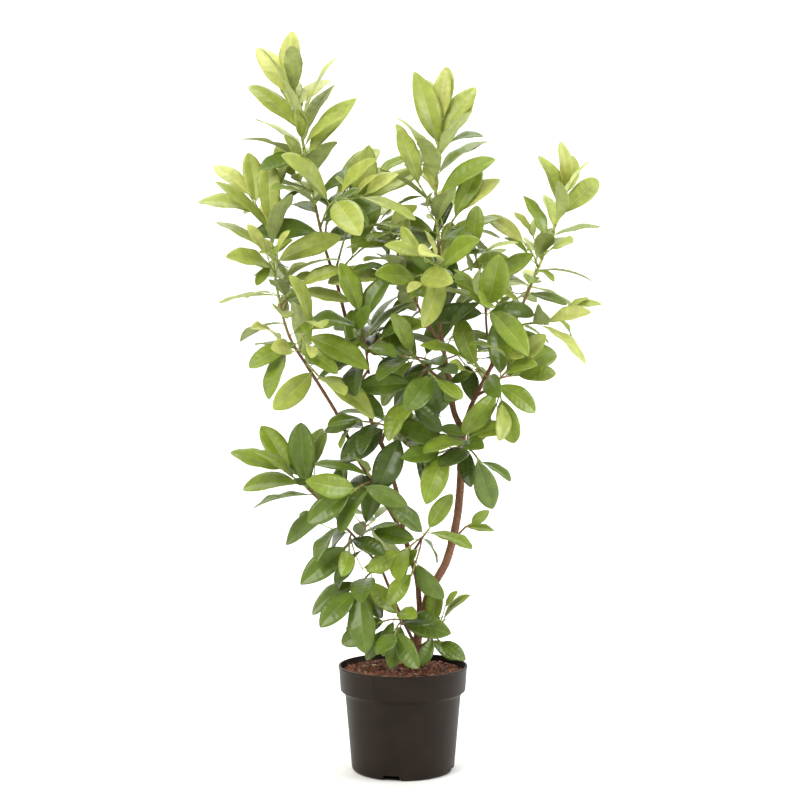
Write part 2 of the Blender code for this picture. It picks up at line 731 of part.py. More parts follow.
def outer_profile():
    """Half the pot's section, from the top of its rim down its outer side to the underside's middle."""
    rim, collar = RIM_DIAMETER / 2, COLLAR_FOOT_DIAMETER / 2
    base = FOOT_DIAMETER / 2 - FOOT_ROUNDING
    corners = [
        (rim - LIP_WIDTH, POT_HEIGHT),
        (rim - LIP_EDGE, POT_HEIGHT),
        (rim, POT_HEIGHT - LIP_EDGE),
        (rim, POT_HEIGHT - LIP_DEPTH),
        (rim - LIP_STEP, POT_HEIGHT - LIP_DEPTH - LIP_STEP),
        (collar, COLLAR_FOOT_HEIGHT),
        (collar - COLLAR_EDGE, COLLAR_FOOT_HEIGHT - COLLAR_EDGE),
        (SHOULDER_DIAMETER / 2, SHOULDER_HEIGHT),
    ]
    for step in range(FOOT_STEPS + 1):
        angle = math.pi / 2 * step / FOOT_STEPS
        corners.append((base + FOOT_ROUNDING * math.cos(angle), FOOT_ROUNDING * (1 - math.sin(angle))))
    return corners + [(0, 0)]


def inside_profile():
    """The inside of the same section, from the middle of the floor up to just under the rim."""
    rim, collar = RIM_DIAMETER / 2, COLLAR_FOOT_DIAMETER / 2
    foot = FOOT_DIAMETER / 2
    return [
        (0, FLOOR),
        (foot - FOOT_ROUNDING - WALL, FLOOR),
        (foot - WALL - LIP_STEP, FOOT_ROUNDING + WALL),
        (SHOULDER_DIAMETER / 2 - WALL, SHOULDER_HEIGHT + COLLAR_EDGE),
        (collar - WALL - COLLAR_EDGE, COLLAR_FOOT_HEIGHT + COLLAR_EDGE),
        (rim - WALL - LIP_STEP, POT_HEIGHT - LIP_DEPTH - LIP_STEP),
    ]


def make_pot(parts, cutters, plastic):
    """A turned shell with a notch for drainage cut through its foot in four places."""
    corners = inside_profile() + outer_profile()
    data = bpy.data.meshes.new("pot")
    edges = [(k, k + 1) for k in range(len(corners) - 1)]
    data.from_pydata([(x * MM, 0, z * MM) for x, z in corners], edges, [])
    pot = new_object("pot", data, parts, plastic)
    turn = pot.modifiers.new("turn", "SCREW")
    turn.steps = POT_SEGMENTS
    turn.render_steps = POT_SEGMENTS
    turn.use_merge_vertices = True
    turn.merge_threshold = MERGE
    turn.use_smooth_shade = True
    for k in range(NOTCH_COUNT):
        notch = notch_cutter(k, cutters)
        cut = pot.modifiers.new(f"notch_{k + 1}", "BOOLEAN")
        cut.operation = "DIFFERENCE"
        cut.solver = "EXACT"
        cut.object = notch
    return pot


def notch_cutter(k, cutters):
    """A block with a flat top and sloping cheeks, across the foot's edge."""
    bpy.ops.mesh.primitive_cube_add(size=1)
    block = bpy.context.active_object
    block.name = f"notch_cutter_{k + 1}"
    for vertex in block.data.vertices:
        flare = NOTCH_FLARE[0] if vertex.co.z > 0 else NOTCH_FLARE[1]
        vertex.co.x *= NOTCH_WIDTH * MM * flare
        vertex.co.y *= NOTCH_DEPTH * MM
        vertex.co.z *= 2 * NOTCH_HEIGHT * MM
    angle = math.radians(-90 + NOTCH_TURN + 360 / NOTCH_COUNT * k)
    radius = FOOT_DIAMETER / 2 * MM
    block.location = (radius * math.cos(angle), radius * math.sin(angle), 0)
    block.rotation_euler.z = angle + math.pi / 2
    for holder in block.users_collection:
        holder.objects.unlink(block)
    cutters.objects.link(block)
    block.display_type = "WIRE"
    block.hide_render = True
    return block


def soil_radius(height):
    """The inside of the pot at a height, less the clearance."""
    corners = inside_profile()[1:]
    for (low_x, low_z), (high_x, high_z) in zip(corners, corners[1:]):
        if low_z <= height <= high_z:
            break
    return low_x + (high_x - low_x) * (height - low_z) / (high_z - low_z) - SOIL_CLEARANCE


def make_soil(parts, trunk_foot, material):
    """A plug of substrate: a turned side, a floor clear of the pot's notches and a lumpy, mounded top."""
    chance = random.Random(SOIL_SEED)
    heights = [NOTCH_HEIGHT + GAP, SHOULDER_HEIGHT + COLLAR_EDGE, COLLAR_FOOT_HEIGHT + COLLAR_EDGE]
    heights.append(SOIL_EDGE_HEIGHT)
    pad_height = trunk_foot.z / MM - GAP
    work = bmesh.new()
    rings = []
    for height in heights:
        radius = soil_radius(height)
        rings.append([soil_vertex(work, radius, k, height) for k in range(SOIL_SEGMENTS)])
    for ring in range(1, SOIL_RINGS):
        share = 1 - ring / SOIL_RINGS
        row = []
        for k in range(SOIL_SEGMENTS):
            radius = soil_radius(SOIL_EDGE_HEIGHT) * share
            mound = SOIL_EDGE_HEIGHT + SOIL_MOUND * (1 - share**2)
            height = mound + chance.uniform(-SOIL_LUMP, SOIL_LUMP)
            vertex = soil_vertex(work, radius, k, height)
            away = math.hypot(vertex.co.x - trunk_foot.x, vertex.co.y - trunk_foot.y) / MM
            if away < FOOT_PAD:
                vertex.co.z = pad_height * MM
            row.append(vertex)
        rings.append(row)
    for lower, upper in zip(rings, rings[1:]):
        for k in range(SOIL_SEGMENTS):
            n = (k + 1) % SOIL_SEGMENTS
            work.faces.new((lower[k], lower[n], upper[n], upper[k]))
    work.faces.new(list(reversed(rings[0])))
    centre = work.verts.new((0, 0, pad_height * MM))
    for k in range(SOIL_SEGMENTS):
        work.faces.new((rings[-1][k], rings[-1][(k + 1) % SOIL_SEGMENTS], centre))
    bmesh.ops.recalc_face_normals(work, faces=work.faces)
    mesh = bpy.data.meshes.new("soil")
    work.to_mesh(mesh)
    work.free()
    return new_object("soil", mesh, parts, material)


def soil_vertex(work, radius, k, height):
    angle = 2 * math.pi * k / SOIL_SEGMENTS
    return work.verts.new((radius * math.cos(angle) * MM, radius * math.sin(angle) * MM, height * MM))


def build():
    clear_scene()
    parts = new_collection("potted_cherry_laurel")
    cutters = new_collection("cutters")
    plastic = new_material("moulded_black_plastic")
    substrate = new_material("bark_substrate")
    bark = new_material("cherry_laurel_bark")
    young = new_material("young_leaves")
    mature = new_material("mature_leaves")
    limbs, masses = grow_plant()
    make_pot(parts, cutters, plastic)
    make_soil(parts, limbs["trunk"]["path"][0], substrate)
    make_limbs(limbs, parts, cutters, bark)
    section = triangle_profile()
    cutters.objects.link(section)
    for name, mass in masses.items():
        make_mass(name, mass, parts, section, young if "crown" in name else mature)
    bpy.data.objects.remove(section)


build()
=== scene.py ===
# %% [markdown]
# # A cherry laurel in a nursery pot
#
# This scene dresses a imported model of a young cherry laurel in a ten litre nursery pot. The packed
# solids give every piece its place: a hollow pot, a plug of bark substrate, a trunk that forks into
# two stems, boughs, and eighteen masses of leaves, each a coarse solid. Here each coarse piece gets
# its fine one: bark with its relief, twigs with their nodes, leaves with a midrib and two different
# sides, a turned pot with a moulded skin, and loose bark chips.
#
# The leaves could be scattered as instances of one leaf, which is quick, but then no leaf knows which
# mass it belongs to and the pieces can't be exported as real meshes. So the rule that grew the
# coarse leaves is written here again: a fine leaf grows in the place of each coarse one, and short
# side shoots fill the gaps.

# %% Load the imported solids
import json
import math
import random

import bmesh
import bpy
import numpy as np
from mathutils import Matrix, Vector, noise
from mathutils.bvhtree import BVHTree

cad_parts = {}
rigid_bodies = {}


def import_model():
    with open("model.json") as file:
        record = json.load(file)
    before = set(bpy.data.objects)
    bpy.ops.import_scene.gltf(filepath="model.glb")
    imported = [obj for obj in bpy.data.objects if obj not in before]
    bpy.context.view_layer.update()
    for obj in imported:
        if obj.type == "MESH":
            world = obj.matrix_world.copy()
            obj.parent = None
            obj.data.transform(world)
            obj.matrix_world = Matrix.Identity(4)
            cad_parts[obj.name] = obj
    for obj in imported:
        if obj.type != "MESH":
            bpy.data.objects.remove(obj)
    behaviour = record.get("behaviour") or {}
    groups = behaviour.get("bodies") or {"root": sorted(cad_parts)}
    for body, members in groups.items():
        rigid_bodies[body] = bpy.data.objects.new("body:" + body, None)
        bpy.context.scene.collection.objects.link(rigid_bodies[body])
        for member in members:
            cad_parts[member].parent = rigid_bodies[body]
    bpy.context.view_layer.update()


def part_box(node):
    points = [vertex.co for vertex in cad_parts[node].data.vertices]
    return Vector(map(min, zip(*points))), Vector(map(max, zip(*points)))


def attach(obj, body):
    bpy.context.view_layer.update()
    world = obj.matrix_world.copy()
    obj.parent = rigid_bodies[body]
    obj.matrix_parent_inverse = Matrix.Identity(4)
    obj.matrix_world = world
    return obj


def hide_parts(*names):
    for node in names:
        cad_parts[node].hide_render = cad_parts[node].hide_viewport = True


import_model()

# %% [markdown]
# ## Sizes and colours
#
# The tables are in millimetres, as a nursery would measure the plant, and Blender works in metres, so
# one factor turns the first into the second. Colours are written as the sRGB hex values that a paint
# program shows, and one function turns them into the linear values that the shader's sockets take.

# %% Units, colours and nodes
MM = 0.001
GAP = 0.3  # between neighbouring solids, in millimetres


def linear(hex_colour):
    """The linear red, green, blue and alpha of an sRGB hex colour."""
    parts = [int(hex_colour[k:k + 2], 16) / 255 for k in (1, 3, 5)]
    return (*[c / 12.92 if c <= 0.04045 else ((c + 0.055) / 1.055) ** 2.4 for c in parts], 1.0)


def add_node(tree, kind, settings=(), links=()):
    """A node with its settings, each a property or an input's value, and its inputs' links."""
    node = tree.nodes.new(kind)
    for name, value in dict(settings).items():
        if name in node.inputs:
            node.inputs[name].default_value = value
        else:
            setattr(node, name, value)
    for name, socket in dict(links).items():
        tree.links.new(socket, node.inputs[name])
    return node


def new_material(name, settings):
    """A material with a Principled shader, whose constant sockets are set, and its node tree."""
    material = bpy.data.materials.new(name)
    material.use_nodes = True
    shader = material.node_tree.nodes["Principled BSDF"]
    for socket, value in settings.items():
        shader.inputs[socket].default_value = value
    return material, material.node_tree, shader


print("a leaf green in linear light:", [round(c, 3) for c in linear("#6B9422")])

# %% [markdown]
# A living surface is never one flat colour. Two tones of it, mixed by a soft noise of a real size,
# are enough: large patches read as growth, small ones as texture. The same noise, finer, drives the
# bump. The noise is measured on the object itself, so it stays put from every side.

# %% Patches and grain
PATCH_DETAIL = 3.0
GRAIN_DETAIL = 4.0


def soft_noise(tree, size, detail):
    """A noise of a size in millimetres, measured on the object."""
    where = add_node(tree, "ShaderNodeTexCoord")
    settings = {"Scale": 1 / (size * MM), "Detail": detail}
    cloud = add_node(tree, "ShaderNodeTexNoise", settings, {"Vector": where.outputs["Object"]})
    return cloud.outputs["Fac"]


def patches(tree, first, second, size, sharpness=0.5):
    """A colour that drifts between two hex colours in patches of a size in millimetres."""
    cloud = soft_noise(tree, size, PATCH_DETAIL)
    edge = 0.5 * (1 - sharpness)
    spread = add_node(
        tree, "ShaderNodeMapRange", {"From Min": edge, "From Max": 1 - edge}, {"Value": cloud}
    )
    mixed = add_node(
        tree, "ShaderNodeMixRGB", {"Color1": linear(first), "Color2": linear(second)},
        {"Fac": spread.outputs["Result"]},
    )
    return mixed.outputs["Color"]


def grain(tree, shader, size, height):
    """A fine bump of a grain size and a height in millimetres."""
    cloud = soft_noise(tree, size, GRAIN_DETAIL)
    bump = add_node(
        tree, "ShaderNodeBump", {"Strength": 1.0, "Distance": height * MM}, {"Height": cloud}
    )
    tree.links.new(bump.outputs["Normal"], shader.inputs["Normal"])


print("patches and grain are ready")

# %% [markdown]
# ## Meshes in batches
#
# A shrub has hundreds of leaves, and an object for each would make the file slow. So the leaves of a
# mass are gathered in one batch of points and faces and become one mesh. A batch also keeps, for
# each face, which finish it has and whether it is shaded smooth.

# %% Batches
def new_batch():
    return dict(points=[], faces=[], finishes=[], smooth=[], count=0)


def add_to(batch, points, faces, finishes, smooth=True):
    """Adds points and faces to a batch. Finishes and smooth are one value, or one for each face."""
    start = batch["count"]
    batch["points"].extend(np.asarray(points).tolist())
    batch["faces"].extend([start + corner for corner in face] for face in faces)
    for kept, given in (("finishes", finishes), ("smooth", smooth)):
        batch[kept].extend([given] * len(faces) if np.isscalar(given) else given)
    batch["count"] += len(points)


def bands(rings, sides):
    """The faces between rings of points, one band after another."""
    faces = []
    for ring in range(rings - 1):
        low, high = ring * sides, (ring + 1) * sides
        for k in range(sides):
            n = (k + 1) % sides
            faces.append((low + k, low + n, high + n, high + k))
    return faces


def new_piece(name, batch, materials, slot, *nodes):
    """The batch as an object that rides on the root body and stands for the given solids."""
    mesh = bpy.data.meshes.new(name)
    mesh.from_pydata(batch["points"], [], batch["faces"])
    for material in materials:
        mesh.materials.append(material)
    mesh.polygons.foreach_set("material_index", batch["finishes"])
    mesh.polygons.foreach_set("use_smooth", batch["smooth"])
    mesh.update()
    piece = bpy.data.objects.new(name, mesh)
    bpy.context.scene.collection.objects.link(piece)
    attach(piece, "root")
    if nodes:
        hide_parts(*nodes)
    return piece


print("batches are ready")

# %% [markdown]
# ## The limbs' paths
#
# A nursery plant branches where it was cut back: the trunk forks low down, each stem forks again, and
# short spurs fill the middle. Each limb is drawn as a curve through a few places, from its parent to
# its tip, with its radius at both ends. A curve needs far fewer numbers than a sculpted mesh, and the
# radius then tapers by itself.

# %% The limbs
LIMB_STEPS = 2
LIMBS = {
    "trunk": dict(parent=None, share=0, foot=10.0, tip=9.4,
                  places=[(24, 0, 219), (29, 1, 262), (38, 3, 322)]),
    "right_stem": dict(parent="trunk", share=0.93, foot=8.9, tip=8.5,
                       places=[(60, 2, 388), (93, 4, 445), (117, 2, 540), (126, 0, 640), (129, 0, 740)]),
    "left_stem": dict(parent="trunk", share=0.93, foot=6.2, tip=5.6,
                      places=[(32, 18, 400), (17, 16, 456), (0, 10, 512)]),
    "middle_leader": dict(parent="right_stem", share=0.99, foot=7.0, tip=4.2,
                          places=[(110, 6, 777), (95, 8, 870), (82, 6, 945)]),
    "right_bough": dict(parent="right_stem", share=0.98, foot=5.4, tip=4.0,
                        places=[(152, 2, 795), (195, 8, 877), (228, 10, 936)]),
    "left_leader": dict(parent="left_stem", share=0.99, foot=5.0, tip=3.8,
                        places=[(-8, 12, 575), (-38, 16, 682), (-72, 18, 762), (-109, 16, 914),
                                (-142, 14, 1045)]),
    "outer_left_bough": dict(parent="left_stem", share=0.96, foot=4.4, tip=3.6,
                             places=[(-42, -6, 582), (-98, -14, 673), (-141, -20, 766),
                                     (-204, -24, 868)]),
    "low_left_bough": dict(parent="trunk", share=0.42, foot=3.8, tip=3.1,
                           places=[(2, -10, 319), (-18, -14, 365), (-43, -18, 426)]),
    "middle_left_spur": dict(parent="middle_leader", share=0.86, foot=3.6, tip=3.0,
                             places=[(46, -22, 972)]),
    "middle_right_spur": dict(parent="right_bough", share=0.70, foot=3.6, tip=3.0,
                              places=[(182, -16, 940)]),
    "right_low_spur": dict(parent="right_bough", share=0.36, foot=3.6, tip=3.0,
                           places=[(189, -20, 826)]),
    "fork_spur": dict(parent="right_stem", share=0.80, foot=3.4, tip=2.8,
                      places=[(136, -26, 690)]),
    "centre_spur": dict(parent="middle_leader", share=0.46, foot=3.6, tip=3.0,
                        places=[(64, -18, 858)]),
    "rear_spur": dict(parent="middle_leader", share=0.30, foot=3.6, tip=3.0,
                      places=[(100, 48, 832)]),
    "left_inner_spur": dict(parent="left_leader", share=0.62, foot=3.6, tip=3.0,
                            places=[(-76, -28, 862)]),
    "centre_left_spur": dict(parent="left_leader", share=0.36, foot=3.4, tip=2.8,
                             places=[(-38, -14, 734)]),
    "lower_left_spur": dict(parent="outer_left_bough", share=0.26, foot=3.2, tip=2.7,
                            places=[(-52, -38, 612)]),
    "low_centre_spur": dict(parent="left_stem", share=0.72, foot=3.2, tip=2.6,
                            places=[(38, -14, 496)]),
    "right_stem_spur": dict(parent="right_stem", share=0.44, foot=2.4, tip=2.2,
                            places=[(132, -4, 520)]),
    "base_right_spur": dict(parent="trunk", share=0.36, foot=2.8, tip=2.3,
                            places=[(50, -14, 276)]),
    "base_left_spur": dict(parent="low_left_bough", share=0.34, foot=2.8, tip=2.3,
                           places=[(-2, -34, 318)]),
}

print(len(LIMBS), "limbs")

# %% [markdown]
# ## The masses of leaves
#
# A mass is one stem that grows on from its bough's tip, a few twigs, and leaves. Only the stem has
# places of its own. A twig is given as a nursery would describe it, by five numbers: the share of the
# stem's length where it leaves, the way it points in degrees round from the right, its rise in
# degrees, its length and its number of leaves. The rule further down sets every leaf.

# %% The masses
MASSES = {
    "left_crown": dict(
        bough="left_leader", leaf=164, width=0.195, low_lean=70, leaves=22, turn=60, seed=11,
        places=[(-175, 12, 1150), (-213, -6, 1340), (-236, -12, 1482)],
        twigs=[(0.06, 5, 68, 190, 6), (0.22, 80, 45, 190, 5), (0.30, 290, 20, 150, 4),
               (0.03, 30, 50, 90, 3)]),
    "outer_left_crown": dict(
        bough="outer_left_bough", leaf=150, width=0.195, low_lean=84, leaves=17, turn=0, seed=12,
        places=[(-250, -28, 950), (-278, -30, 1086), (-286, -36, 1225)],
        twigs=[(0.78, 160, 62, 105, 4), (0.10, 285, 20, 140, 4), (0.35, 80, 25, 180, 5),
               (0.03, 300, -25, 80, 4), (0.12, 230, 10, 50, 3), (0.40, 330, 40, 60, 3)]),
    "middle_crown": dict(
        bough="middle_leader", leaf=154, width=0.195, low_lean=66, leaves=22, turn=180, seed=13,
        places=[(80, 2, 1080), (70, -6, 1270), (86, -8, 1430)],
        twigs=[(0.38, 350, 60, 85, 4), (0.20, 345, 30, 95, 4), (0.18, 270, 15, 170, 4),
               (0.34, 88, 25, 200, 6), (0.14, 175, 50, 60, 3), (0.50, 185, 62, 105, 4)]),
    "middle_left_mass": dict(
        bough="middle_left_spur", leaf=142, leaves=8, turn=200, seed=14,
        places=[(0, -46, 1080), (-30, -60, 1165)],
        twigs=[(0.20, 165, 45, 80, 4), (0.35, 280, 10, 110, 3)]),
    "middle_right_mass": dict(
        bough="middle_right_spur", leaf=138, leaves=8, turn=330, seed=15,
        places=[(172, -20, 1050), (146, -24, 1140)],
        twigs=[(0.35, 0, 60, 50, 3), (0.15, 270, 15, 105, 4)]),
    "right_crown": dict(
        bough="right_bough", leaf=124, width=0.195, low_lean=74, leaves=18, turn=180, seed=16,
        places=[(300, 8, 1099), (335, 2, 1190), (352, 0, 1270)],
        twigs=[(0.46, 150, 60, 60, 3), (0.06, 330, 5, 80, 4), (0.22, 80, 20, 170, 5)]),
    "right_low_mass": dict(
        bough="right_low_spur", leaf=132, low_lean=70, leaves=4, turn=350, seed=17,
        places=[(226, -46, 866)],
        twigs=[(0.50, 345, 10, 35, 3), (0.20, 310, -60, 45, 3), (0.10, 210, 40, 80, 3)]),
    "fork_mass": dict(
        bough="fork_spur", leaf=120, droop=0.55, leaves=5, turn=300, seed=18,
        places=[(138, -54, 724)],
        twigs=[(0.25, 205, -10, 60, 4), (0.20, 310, -35, 50, 3)]),
    "centre_mass": dict(
        bough="centre_spur", leaf=138, leaves=5, turn=180, seed=19,
        places=[(20, -50, 898)],
        twigs=[(0.30, 280, -15, 110, 4), (0.20, 205, -50, 80, 4)]),
    "rear_mass": dict(
        bough="rear_spur", leaf=138, leaves=7, turn=90, seed=20,
        places=[(90, 165, 950), (96, 225, 1040)],
        twigs=[(0.20, 150, 15, 120, 5), (0.30, 20, 10, 120, 5)]),
    "left_inner_mass": dict(
        bough="left_inner_spur", leaf=138, leaves=6, turn=180, seed=21,
        places=[(-90, -76, 980)],
        twigs=[(0.15, 195, 20, 60, 4), (0.25, 85, 20, 180, 5), (0.30, 345, 45, 60, 3)]),
    "centre_left_mass": dict(
        bough="centre_left_spur", leaf=134, droop=0.5, leaves=5, turn=200, seed=22,
        places=[(-30, -58, 762)],
        twigs=[(0.10, 90, 5, 150, 5), (0.45, 340, -40, 80, 5), (0.30, 195, 10, 60, 4)]),
    "lower_left_mass": dict(
        bough="lower_left_spur", leaf=130, droop=0.5, leaves=5, turn=100, seed=27,
        places=[(-72, -70, 642)],
        twigs=[(0.50, 215, -20, 60, 4)]),
    "low_left_mass": dict(
        bough="low_left_bough", leaf=136, droop=0.5, leaves=14, turn=200, seed=23,
        places=[(-94, -24, 493), (-200, -34, 604), (-258, -36, 650)],
        twigs=[(0.05, 215, -40, 75, 5), (0.35, 265, -40, 50, 3), (0.25, 80, 15, 150, 5)]),
    "low_centre_mass": dict(
        bough="low_centre_spur", leaf=112, leaves=4, turn=30, seed=24,
        places=[(54, -34, 520)],
        twigs=[(0.40, 215, -30, 60, 4), (0.20, 235, -62, 80, 3)]),
    "right_stem_mass": dict(
        bough="right_stem_spur", leaf=80, low_lean=40, leaves=2, turn=0, seed=28,
        places=[(146, -10, 530)],
        twigs=[]),
    "base_right_mass": dict(
        bough="base_right_spur", leaf=104, low_lean=78, droop=0.7, leaves=2, turn=10, seed=25,
        places=[(66, -18, 310)],
        twigs=[(0.60, 350, 45, 35, 2), (0.50, 305, -15, 35, 2)]),
    "base_left_mass": dict(
        bough="base_left_spur", leaf=120, droop=0.9, leaves=4, turn=250, seed=26,
        places=[(-12, -60, 346)],
        twigs=[(0.50, 195, -5, 40, 3), (0.30, 255, -20, 50, 4)]),
}

print(len(MASSES), "masses with", sum(len(row["twigs"]) for row in MASSES.values()), "side twigs")

# %% [markdown]
# ## Paths
#
# A path is a list of points. A smooth one passes through all its places, which a Bezier curve would
# need handles for, so this spline is worked out from each place's neighbours. Everything that sits
# on a limb is placed by a share of its length.

# %% Smooth paths
def place(x, y, z):
    return Vector((x, y, z)) * MM


def smooth_path(places, steps):
    """Points on a smooth curve through the places, with the same number of steps in each span."""
    ends = [2 * places[0] - places[1]] + places + [2 * places[-1] - places[-2]]
    path = []
    for a, b, c, d in zip(ends, ends[1:], ends[2:], ends[3:]):
        for step in range(steps):
            t = step / steps
            bend = (c - a) * t + (2 * a - 5 * b + 4 * c - d) * t**2 + (3 * b - a - 3 * c + d) * t**3
            path.append(b + bend / 2)
    path.append(places[-1].copy())
    return path


def lengths_along(path):
    total = [0.0]
    for a, b in zip(path, path[1:]):
        total.append(total[-1] + (b - a).length)
    return total


def point_at(path, share):
    """The point at a share of the path's length, and the path's direction there."""
    total = lengths_along(path)
    wanted = share * total[-1]
    for a, b, low, high in zip(path, path[1:], total, total[1:]):
        if wanted <= high:
            break
    return a.lerp(b, (wanted - low) / (high - low)), (b - a).normalized()


def between(ends, share):
    """The value at a share of the way from the first end to the second."""
    return ends[0] + (ends[1] - ends[0]) * share


def radius_at(limb, share):
    return between((limb["foot"], limb["tip"]), share)


print("a path of two places has", len(smooth_path([place(0, 0, 0), place(0, 0, 1)], 4)), "points")

# %% [markdown]
# ## The rule for twigs
#
# A twig leaves its stem a little thinner than the stem is there, and bends once towards the light.

# %% Twigs
STEM_STEPS = 1
STEM_FOOT = 0.96  # of its bough's tip
STEM_KNEE = 2  # tip radii of the bough that the stem runs straight on before it bends
STEM_TIP = 2.0
TWIG_SHARE = 0.75  # of the stem's thickness where a twig leaves it
TWIG_BEND = (0.45, 0.08)  # share of the twig's length, and how far it bends there along the stem
TWIG_TURN = 100  # degrees from one twig's first leaf to the next twig's
FIRST_LEAF = 0.22  # share of the stem's length
FIRST_TWIG_LEAF = 0.30


def grow_limbs():
    """The path and the end radii of each limb, from the trunk outwards."""
    grown = {}
    for name, row in LIMBS.items():
        places = [place(*p) for p in row["places"]]
        if row["parent"]:
            start, _ = point_at(grown[row["parent"]]["path"], row["share"])
            places.insert(0, start)
        grown[name] = dict(
            parent=row["parent"],
            path=smooth_path(places, LIMB_STEPS),
            foot=row["foot"] * MM,
            tip=row["tip"] * MM,
        )
    return grown


def direction(towards, rise):
    """The way that a twig points, from its two angles in degrees."""
    across, up = math.radians(towards), math.radians(rise)
    return Vector((math.cos(up) * math.cos(across), math.cos(up) * math.sin(across), math.sin(up)))


def new_twig(places, foot, leaves, turn, first):
    """A twig with its path, its end radii, its number of leaves, and where and how they start."""
    path = smooth_path(places, STEM_STEPS)
    return dict(path=path, foot=foot, tip=STEM_TIP * MM, leaves=leaves, turn=turn, first=first)


def grow_twigs(row, bough):
    """The mass's stem, which starts just clear of its bough's tip, and its twigs."""
    end, heading = point_at(bough["path"], 1.0)
    start = end + heading * GAP * MM
    knee = start + heading * bough["tip"] * STEM_KNEE
    places = [start, knee] + [place(*p) for p in row["places"]]
    stem = new_twig(places, bough["tip"] * STEM_FOOT, row["leaves"], row["turn"], FIRST_LEAF)
    twigs = [stem]
    for number, (share, towards, rise, length, leaves) in enumerate(row["twigs"], 1):
        base, along = point_at(stem["path"], share)
        tip = base + direction(towards, rise) * length * MM
        bend = base.lerp(tip, TWIG_BEND[0]) + along * (tip - base).length * TWIG_BEND[1]
        foot = radius_at(stem, share) * TWIG_SHARE
        turn = row["turn"] + TWIG_TURN * number
        twigs.append(new_twig([base, bend, tip], foot, leaves, turn, FIRST_TWIG_LEAF))
    return twigs


print("the trunk is", round(lengths_along(grow_limbs()["trunk"]["path"])[-1] * 1000), "mm long")

# %% [markdown]
# ## The rule for leaves
#
# Laurel leaves follow each other up the shoot at the golden angle, low ones spread wide and the
# youngest stand almost upright. A leaf that would touch another is turned and shortened a few times
# and then left out, as in a real crown, where the shoot would have turned it to the light. For that
# test each leaf is a coarse solid of 22 faces: two search trees that meet have touched.

# %% The coarse leaf
LEAF_WIDTH = 0.225  # half the width, over the length, where a mass gives no width of its own
LEAF_KEEL = 0.022
LEAF_ROOT = 0.8
LEAF_STALK = 0.16  # of its length, which may pass close to the leaves of its own mass
LEAF_REACH = 0.6  # of its length, from its middle
LEAF_ARCH = (0.03, 0.09)
LEAF_FOLD = 0.28
LEAF_STATIONS = ((0.26, 0.62), (0.57, 1.0), (0.85, 0.78))  # share of the length and of the half width


def across_to(heading, wanted):
    """The wanted direction, squared up to the leaf's heading."""
    return (wanted - heading * wanted.dot(heading)).normalized()


def rolled(heading, upper, angle):
    return upper * math.cos(angle) + heading.cross(upper) * math.sin(angle)


def new_leaf(base, heading, upper, length, width, chance):
    """A leaf by its base, its heading, the way its upper side faces, its length and its half width."""
    arch = chance.uniform(*LEAF_ARCH)
    return dict(base=base, heading=heading, upper=upper, length=length, width=width * length, arch=arch)


def leaf_points(leaf, grow=0.0):
    """The corners of a leaf's solid: three round its root, three at each station and one at its tip."""
    heading, upper, length = leaf["heading"], leaf["upper"], leaf["length"]
    side = heading.cross(upper)
    root = LEAF_ROOT * MM
    points = [
        leaf["base"] - side * root + upper * root,
        leaf["base"] + side * root + upper * root,
        leaf["base"] - upper * root,
    ]
    for share, fullness in LEAF_STATIONS:
        rise = 4 * leaf["arch"] * share * (1 - share) * length
        middle = leaf["base"] + heading * length * share + upper * rise
        half = leaf["width"] * fullness + grow
        fold = upper * half * LEAF_FOLD
        keel = upper * (LEAF_KEEL * length + grow)
        points += [middle - side * half + fold, middle + side * half + fold, middle - keel]
    points.append(leaf["base"] + heading * (length + grow))
    return points


def leaf_faces():
    """Triangles between the rings of three, closed by the root's triangle and the tip."""
    faces = [(0, 2, 1)]
    rings = len(LEAF_STATIONS)
    for ring in range(rings):
        low, high = 3 * ring, 3 * ring + 3
        for k in range(3):
            n = (k + 1) % 3
            faces += [(low + k, low + n, high + n), (low + k, high + n, high + k)]
    last, tip = 3 * rings, 3 * rings + 3
    faces += [(last + k, last + (k + 1) % 3, tip) for k in range(3)]
    return faces


print("a coarse leaf has", len(leaf_faces()), "faces")

# %% The test for touching
LEAF_CLEARANCE = 0.6
LOWEST_LEAF = 229  # height, just above the pot's rim
TUBE_CLEARANCE = 0.5
SEARCH_SIDES = 6  # of the tube that stands for a limb or twig in the search trees


def leaf_tree(leaf, stalk):
    """A search tree of a leaf's solid, from a share of its length on."""
    points = leaf_points(leaf, LEAF_CLEARANCE * MM)
    for corner in range(3):
        points[corner] = points[corner] + leaf["heading"] * leaf["length"] * stalk
    return BVHTree.FromPolygons(points, leaf_faces())


def tube_tree(limb, grow):
    """A search tree of a limb or twig, as a tube of flat sides."""
    points = []
    path = limb["path"]
    total = lengths_along(path)
    for index, centre in enumerate(path):
        before, after = path[max(index - 1, 0)], path[min(index + 1, len(path) - 1)]
        along = (after - before).normalized()
        across = along.orthogonal().normalized()
        beside = along.cross(across)
        radius = radius_at(limb, total[index] / total[-1]) + grow
        for k in range(SEARCH_SIDES):
            angle = 2 * math.pi * k / SEARCH_SIDES
            points.append(centre + (across * math.cos(angle) + beside * math.sin(angle)) * radius)
    return BVHTree.FromPolygons(points, bands(len(path), SEARCH_SIDES))


def add_tube(limb, mass, taken):
    path = limb["path"]
    centre = (path[0] + path[-1]) / 2
    reach = max((p - centre).length for p in path) + limb["foot"]
    tree = tube_tree(limb, TUBE_CLEARANCE * MM)
    limb["space"] = dict(mass=mass, blade=tree, whole=tree, centre=centre, reach=reach)
    taken.append(limb["space"])


